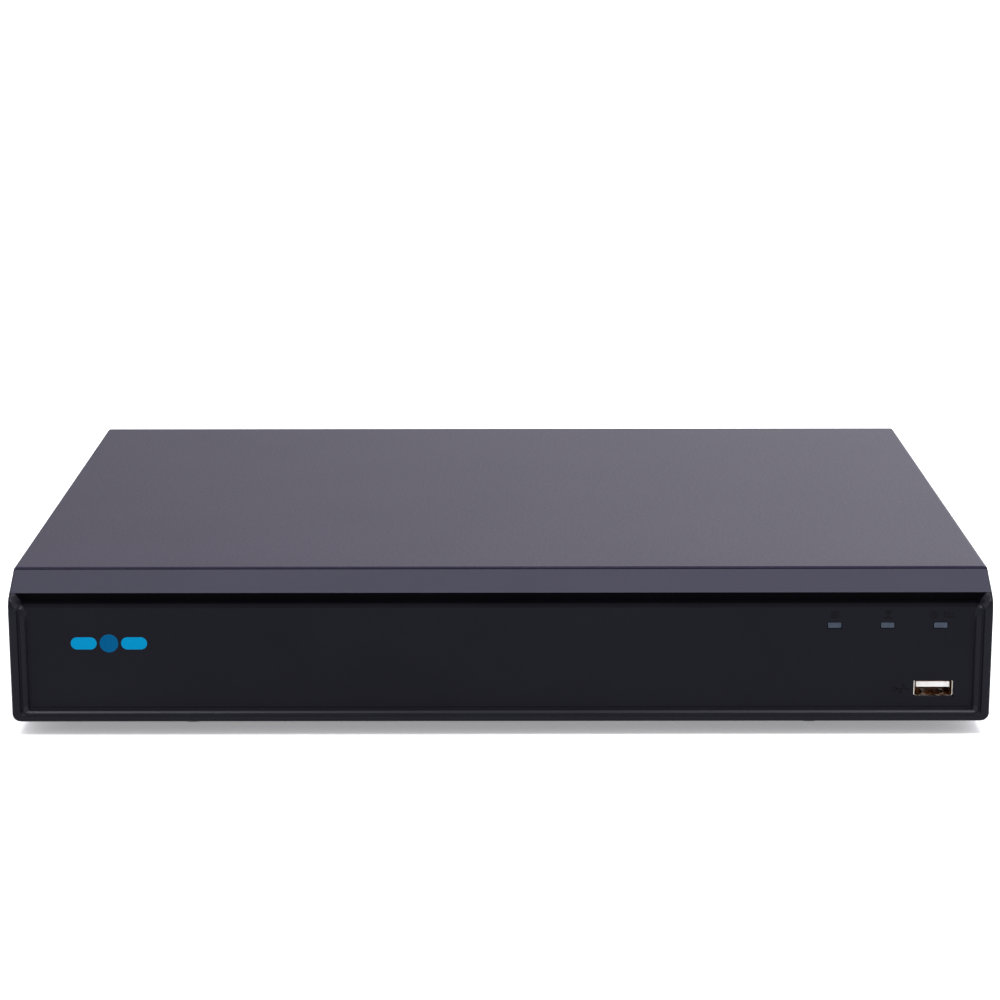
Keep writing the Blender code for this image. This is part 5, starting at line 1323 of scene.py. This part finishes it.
    def inlet(self) -> None:
        """Power inlet: a rounded mouth ring and a bright centre pin."""
        dress("dc_jack", PBT_BLACK)
        x, edge, _ = mouth("dc_jack")
        z = corners("dc_jack")[0][2] + 6.2
        lip = [(3.1, -0.25), (3.6, -0.1), (3.75, 0.12), (3.6, 0.3), (3.25, 0.25), (3.08, 0.0)]
        pin = [(0.12, -0.72), (0.55, -0.75), (0.95, -1.0), (1.06, -1.4), (1.06, -9.0), (0.2, -9.0)]
        sleeve = [(2.75, -9.2), (3.05, -9.2), (3.05, -1.2), (2.95, -1.05), (2.8, -1.2)]
        bright = [lathe(pin, 24).painted(1), lathe(sleeve, 40, ring=True).painted(1)]
        whole = lathe(lip, 48, ring=True).joined(*bright)
        piece("inlet_contacts", whole.placed((x, edge, z), Facing.BACK), [PBT_BLACK, NICKEL])

    def switch(self) -> None:
        """Rocker switch: dressed frame and rocker, with the line and the ring printed on it."""
        dress("switch_frame", PBT_BLACK)
        dress("power_rocker", PBT_BLACK)
        x, _, z = mouth("power_rocker")
        axis = np.array([x, self.panel - 1.0, z])
        tilt = radians(-10)
        # The rocker's face rises from its valley beside the axis to each end
        valley, end, reach = 3.4, 8.6 * np.cos(0.92), 6.85
        marks = []
        for up, mark in ((4.1, self.line_mark()), (-4.1, self.ring_mark())):
            across, along, out = mark.points.T
            lift = valley + (end - valley) * abs(up) / reach + 0.02
            lean = atan2(end - valley, reach) * np.sign(up)
            y = lift + out * np.cos(lean) + along * np.sin(lean)
            z = up - out * np.sin(lean) + along * np.cos(lean)
            tipped = [-across, y * np.cos(tilt) - z * np.sin(tilt), y * np.sin(tilt) + z * np.cos(tilt)]
            marks.append(Surface(np.column_stack(tipped) + axis, mark.polygons))
        piece("rocker_marks", together(marks), [INK_WHITE], body="rocker")

    def line_mark(self) -> Surface:
        """The line that means on."""
        return slab(rounded_outline(0.55, 3.0, 0.2, 3), -0.05, 0.06, 0.02, 1)

    def ring_mark(self) -> Surface:
        """The ring that means off."""
        return tube(circle_outline(1.4, 32), circle_outline(0.95, 32), -0.05, 0.06, 0.02)

    def marks(self) -> None:
        """Channel numbers and an earth sign, printed beside the sockets."""
        parts = []
        for number in range(1, 9):
            x, _, z = mouth(f"bnc_jack_{number}")
            digit = text_surface(str(number), 3.4)
            parts.append(digit.placed((x + 7.9, self.panel, z + 5.2), Facing.BACK))
        x, _, z = mouth("ground_screw")
        earth = [(3.4, 0.35, 6.6), (2.2, 0.35, 5.8), (1.0, 0.35, 5.0), (0.35, 1.6, 7.4)]
        for width, height, up in earth:
            bar = slab(rounded_outline(width, height, 0.15, 3), -0.02, 0.04, 0.01, 1)
            parts.append(bar.placed((x, self.panel, z + up), Facing.BACK))
        piece("rear_marks", together(parts), [INK_WHITE])


def text_surface(text: str, height: float) -> Surface:
    """A digit as a thin raised print, its place in its points.

    Args:
        text: the digit.
        height: its size in millimetres.

    Returns:
        The print about its own middle, its axis out of the page.
    """
    curve = bpy.data.curves.new("digit", "FONT")
    curve.body = text
    curve.size = height
    curve.extrude = 0.03
    curve.resolution_u = 4
    curve.align_x = "CENTER"
    curve.align_y = "CENTER"
    guide = bpy.data.objects.new("digit", curve)
    bpy.context.scene.collection.objects.link(guide)
    bpy.context.view_layer.update()
    shown = guide.evaluated_get(bpy.context.evaluated_depsgraph_get())
    mesh = bpy.data.meshes.new_from_object(shown)
    shape = bmesh.new()
    shape.from_mesh(mesh)
    bmesh.ops.remove_doubles(shape, verts=shape.verts, dist=0.001)
    bmesh.ops.triangulate(shape, faces=shape.faces)
    shape.to_mesh(mesh)
    shape.free()
    points = np.empty(len(mesh.vertices) * 3)
    mesh.vertices.foreach_get("co", points)
    corners_of = np.empty(len(mesh.loops), int)
    mesh.loops.foreach_get("vertex_index", corners_of)
    bpy.data.objects.remove(guide, do_unlink=True)
    bpy.data.curves.remove(curve)
    made = Surface(points.reshape(-1, 3), [corners_of.reshape(-1, 3)])
    bpy.data.meshes.remove(mesh)
    return made


# ---------------------------------------------------------------- inside


@dataclass
class Inside:
    """Boards, drive and leads: dressed CAD nodes and the small parts soldered on the boards."""

    def build(self) -> None:
        """Dress every inner node, then populate the boards."""
        finishes = {
            "main_board": BOARD, "front_board": BOARD, "hdd_board": BOARD, "processor_chip": EPOXY,
            "heatsink": ANODISED, "coin_cell": NICKEL, "buzzer": PBT_BLACK, "front_ribbon_cable": FLAT_CABLE,
            "hdd_base": CAST, "hdd_lid": ZINC, "hdd_platter": PLATTER, "hdd_actuator": CAST,
            "sata_data_cable": PVC_RED, "sata_power_cable": PVC_BLACK,
        }
        for name, finish in finishes.items():
            dress(name, finish)
        self.chips()
        self.capacitors()
        self.lid_screws()
        self.diodes()

    def chips(self) -> None:
        """Flat packages with rows of bent leads, round the processor."""
        board = corners("main_board")[1][2]
        places = [
            (30, 62, 14, 10), (48, 62, 14, 10), (-52, 62, 12, 12), (100, 48, 18, 14),
            (-70, 78, 9, 9), (72, 30, 10, 7),
        ]
        s = np.linspace(0, 1, 7)
        pitch, lead = 1.27, 0.16
        parts = []
        for x, y, width, depth in places:
            body = slab(rounded_outline(width, depth, 0.4, 3), 0.15, 1.5, 0.15, 2)
            parts.append(body.placed((x, y, board)))
            count = int(width / 1.6)
            for i in range(count):
                beside = np.full_like(s, x + (i - (count - 1) / 2) * pitch)
                for side in (-1, 1):
                    out = y + side * (depth / 2 - 0.1 + 1.1 * s)
                    path = np.column_stack([beside, out, board + 0.75 - 0.6 * s**2])
                    parts.append(rod(path, lead, 6).painted(1))
        piece("board_chips", together(parts), [EPOXY, ZINC])

    def capacitors(self) -> None:
        """Aluminium cans with a sleeve and a scored top."""
        board = corners("main_board")[1][2]
        cans = [
            (-128, 78, 5, 12), (-114, 78, 5, 12), (-128, 62, 4, 11), (-118, 62, 4, 11),
            (-106, 64, 3.2, 9), (64, 80, 3.2, 8), (8, 34, 3.2, 7), (18, 34, 3.2, 7),
        ]
        parts = []
        for x, y, radius, height in cans:
            foot = [(0.3, 0.25), (radius - 0.3, 0.25), (radius, 0.5), (radius, 1.4)]
            neck = [(radius - 0.25, 1.8), (radius, 2.2), (radius, height - 0.5)]
            rim = [(radius - 0.4, height - 0.1), (radius - 0.7, height)]
            cap = [(0.2, height - 0.02), (radius - 0.7, height - 0.02), (radius - 0.9, height - 0.12)]
            parts.append(lathe(foot + neck + rim, 36).placed((x, y, board)))
            top = lathe([*cap, (0.2, height - 0.15)], 36).painted(1)
            parts.append(top.placed((x, y, board + 0.05)))
        piece("board_capacitors", together(parts), [PVC_BLACK, NICKEL])

    def lid_screws(self) -> None:
        """Six star-headed screws round the drive's lid, sunk level with it."""
        low, high = corners("hdd_lid")
        head = screw_head(2.1, 0.25, 1.3, 0.5, 0.15)
        parts = []
        for x in (low[0] + 5.5, (low[0] + high[0]) / 2, high[0] - 5.5):
            for y in (low[1] + 5, high[1] - 5):
                parts.append(head.placed((x, y, high[2] + 0.16)))
        piece("drive_lid_screws", together(parts), [ZINC], sharp=25)

    def diodes(self) -> None:
        """Indicator diodes on the front board, under the feet of the light guides."""
        board = corners("front_board")[1][2] + 0.02
        body = slab(rounded_outline(3.0, 1.4, 0.2, 3), 0.0, 1.5, 0.15, 2)
        parts = []
        for number in (1, 2, 3):
            x, rear, _ = mouth(f"light_guide_{number}")
            parts.append(body.placed((x, rear - 0.95, board)))
        piece("indicator_diodes", together(parts), [PTFE])


def dress(name: str, finish: Finish) -> None:
    """Give a CAD node its finish through its object's material slots."""
    shown = bpy.data.objects[name]
    if not shown.material_slots:
        shown.data.materials.append(None)
    for slot in shown.material_slots:
        slot.material = finish.material()
    LOG.info("node %s: %s", name, finish.name)


# ---------------------------------------------------------------- studio


@dataclass
class Studio:
    """Camera, pale floor and soft light."""

    lens: float = 96.35
    pitch: float = 13.5
    roll: float = 0.07
    yaw: float = 0.019
    place: Place = (0.0004, -0.9778, 0.2849)
    overhead_power: float = 12.0
    side_power: float = 9.0
    left_behind: float = 0.38
    right_behind: float = 1.26
    beside_strength: float = 1.25
    above_middle: float = 0.84
    above_sides: float = 1.35

    def build(self) -> None:
        """Set the camera, the floor, the surrounding light and the soft boxes."""
        scene = bpy.context.scene
        scene.view_settings.view_transform = "Standard"
        scene.view_settings.look = "None"
        camera = bpy.data.objects.new("camera", bpy.data.cameras.new("camera"))
        camera.data.lens = self.lens
        camera.data.sensor_width = 36
        camera.data.clip_end = 100
        camera.location = self.place
        camera.rotation_euler = (radians(90 - self.pitch), radians(self.roll), radians(self.yaw))
        scene.collection.objects.link(camera)
        scene.camera = camera
        self.floor()
        self.surroundings()
        self.soft_box("overhead_soft_box", (0.1, 0.35, 1.7), (1.6, 1.0), self.overhead_power)
        for name, x in (("left_soft_box", -0.46), ("right_soft_box", 0.46)):
            self.soft_box(name, (x, -0.75, 1.4), (0.4, 0.4), self.side_power)

    def floor(self) -> None:
        """A wide sheet of white paper under the feet."""
        mesh = bpy.data.meshes.new("paper_floor")
        reach = 12.0
        corners_of = [(-reach, -reach, 0), (reach, -reach, 0), (reach, reach, 0), (-reach, reach, 0)]
        mesh.from_pydata(corners_of, [], [(0, 1, 2, 3)])
        mesh.materials.append(FLOOR.material())
        paper = bpy.data.objects.new("paper_floor", mesh)
        bpy.context.scene.collection.objects.link(paper)

    def surroundings(self) -> None:
        """A white surround: even overhead and at the sides, brighter to the right behind."""
        world = bpy.data.worlds.new("white_surround")
        bpy.context.scene.world = world
        world.use_nodes = True
        tree = world.node_tree
        tree.nodes.clear()
        direction = node(tree, "ShaderNodeTexCoord").outputs["Generated"]
        split = node(tree, "ShaderNodeSeparateXYZ", links={"Vector": direction})
        up, across = split.outputs["Z"], split.outputs["X"]
        aside = node(tree, "ShaderNodeMath", links={0: across}, operation="ABSOLUTE").outputs[0]
        behind = self.eased(tree, across, -0.36, 0.36, self.left_behind, self.right_behind)
        low = self.blend(tree, self.eased(tree, aside, 0.5, 0.8), behind, self.beside_strength)
        above = self.eased(tree, aside, 0.0, 0.4, self.above_middle, self.above_sides)
        strength = self.blend(tree, self.eased(tree, up, 0.35, 0.75), low, above)
        white = {"Color": linear("#fbfaff")}
        light = node(tree, "ShaderNodeBackground", white, {"Strength": strength})
        node(tree, "ShaderNodeOutputWorld", links={"Surface": light.outputs["Background"]})

    def eased(
        self, tree: Tree, value: Socket, start: float, end: float, low: float = 0.0, high: float = 1.0
    ) -> Socket:
        """A value moved from one range to another, eased at both ends."""
        return ramp(tree, value, start, end, low, high, "SMOOTHSTEP")

    def blend(self, tree: Tree, share: Socket, first: Socket, second: Socket | float) -> Socket:
        """Two strengths blended by a share; the second is a number or another output."""
        made = node(tree, "ShaderNodeMix", links={0: share, 2: first}, data_type="FLOAT")
        if isinstance(second, float):
            made.inputs[3].default_value = second
        else:
            tree.links.new(second, made.inputs[3])
        return made.outputs[0]

    def soft_box(self, name: str, place: Place, size: tuple[float, float], power: float) -> None:
        """A rectangular soft box aimed at the origin."""
        light = bpy.data.lights.new(name, "AREA")
        light.shape = "RECTANGLE"
        light.size, light.size_y = size
        light.energy = power
        lamp = bpy.data.objects.new(name, light)
        aim = -Vector(place)
        lamp.matrix_world = Matrix.Translation(place) @ aim.to_track_quat("-Z", "Y").to_matrix().to_4x4()
        bpy.context.scene.collection.objects.link(lamp)


def main() -> None:
    """Load the frame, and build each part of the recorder."""
    logging.basicConfig(level=logging.INFO, format="%(message)s")
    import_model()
    Studio().build()
    FrontMoulding().build()
    UsbSocket("front_usb_shell", "front_usb_tongue", Facing.FRONT, PBT_WHITE, set_back=0.15).build()
    UsbSocket("rear_usb_shell", "rear_usb_tongue", Facing.BACK, PBT_BLACK).build()
    Case().build()
    RearSockets().build()
    Inside().build()


if __name__ == "__main__":
    main()
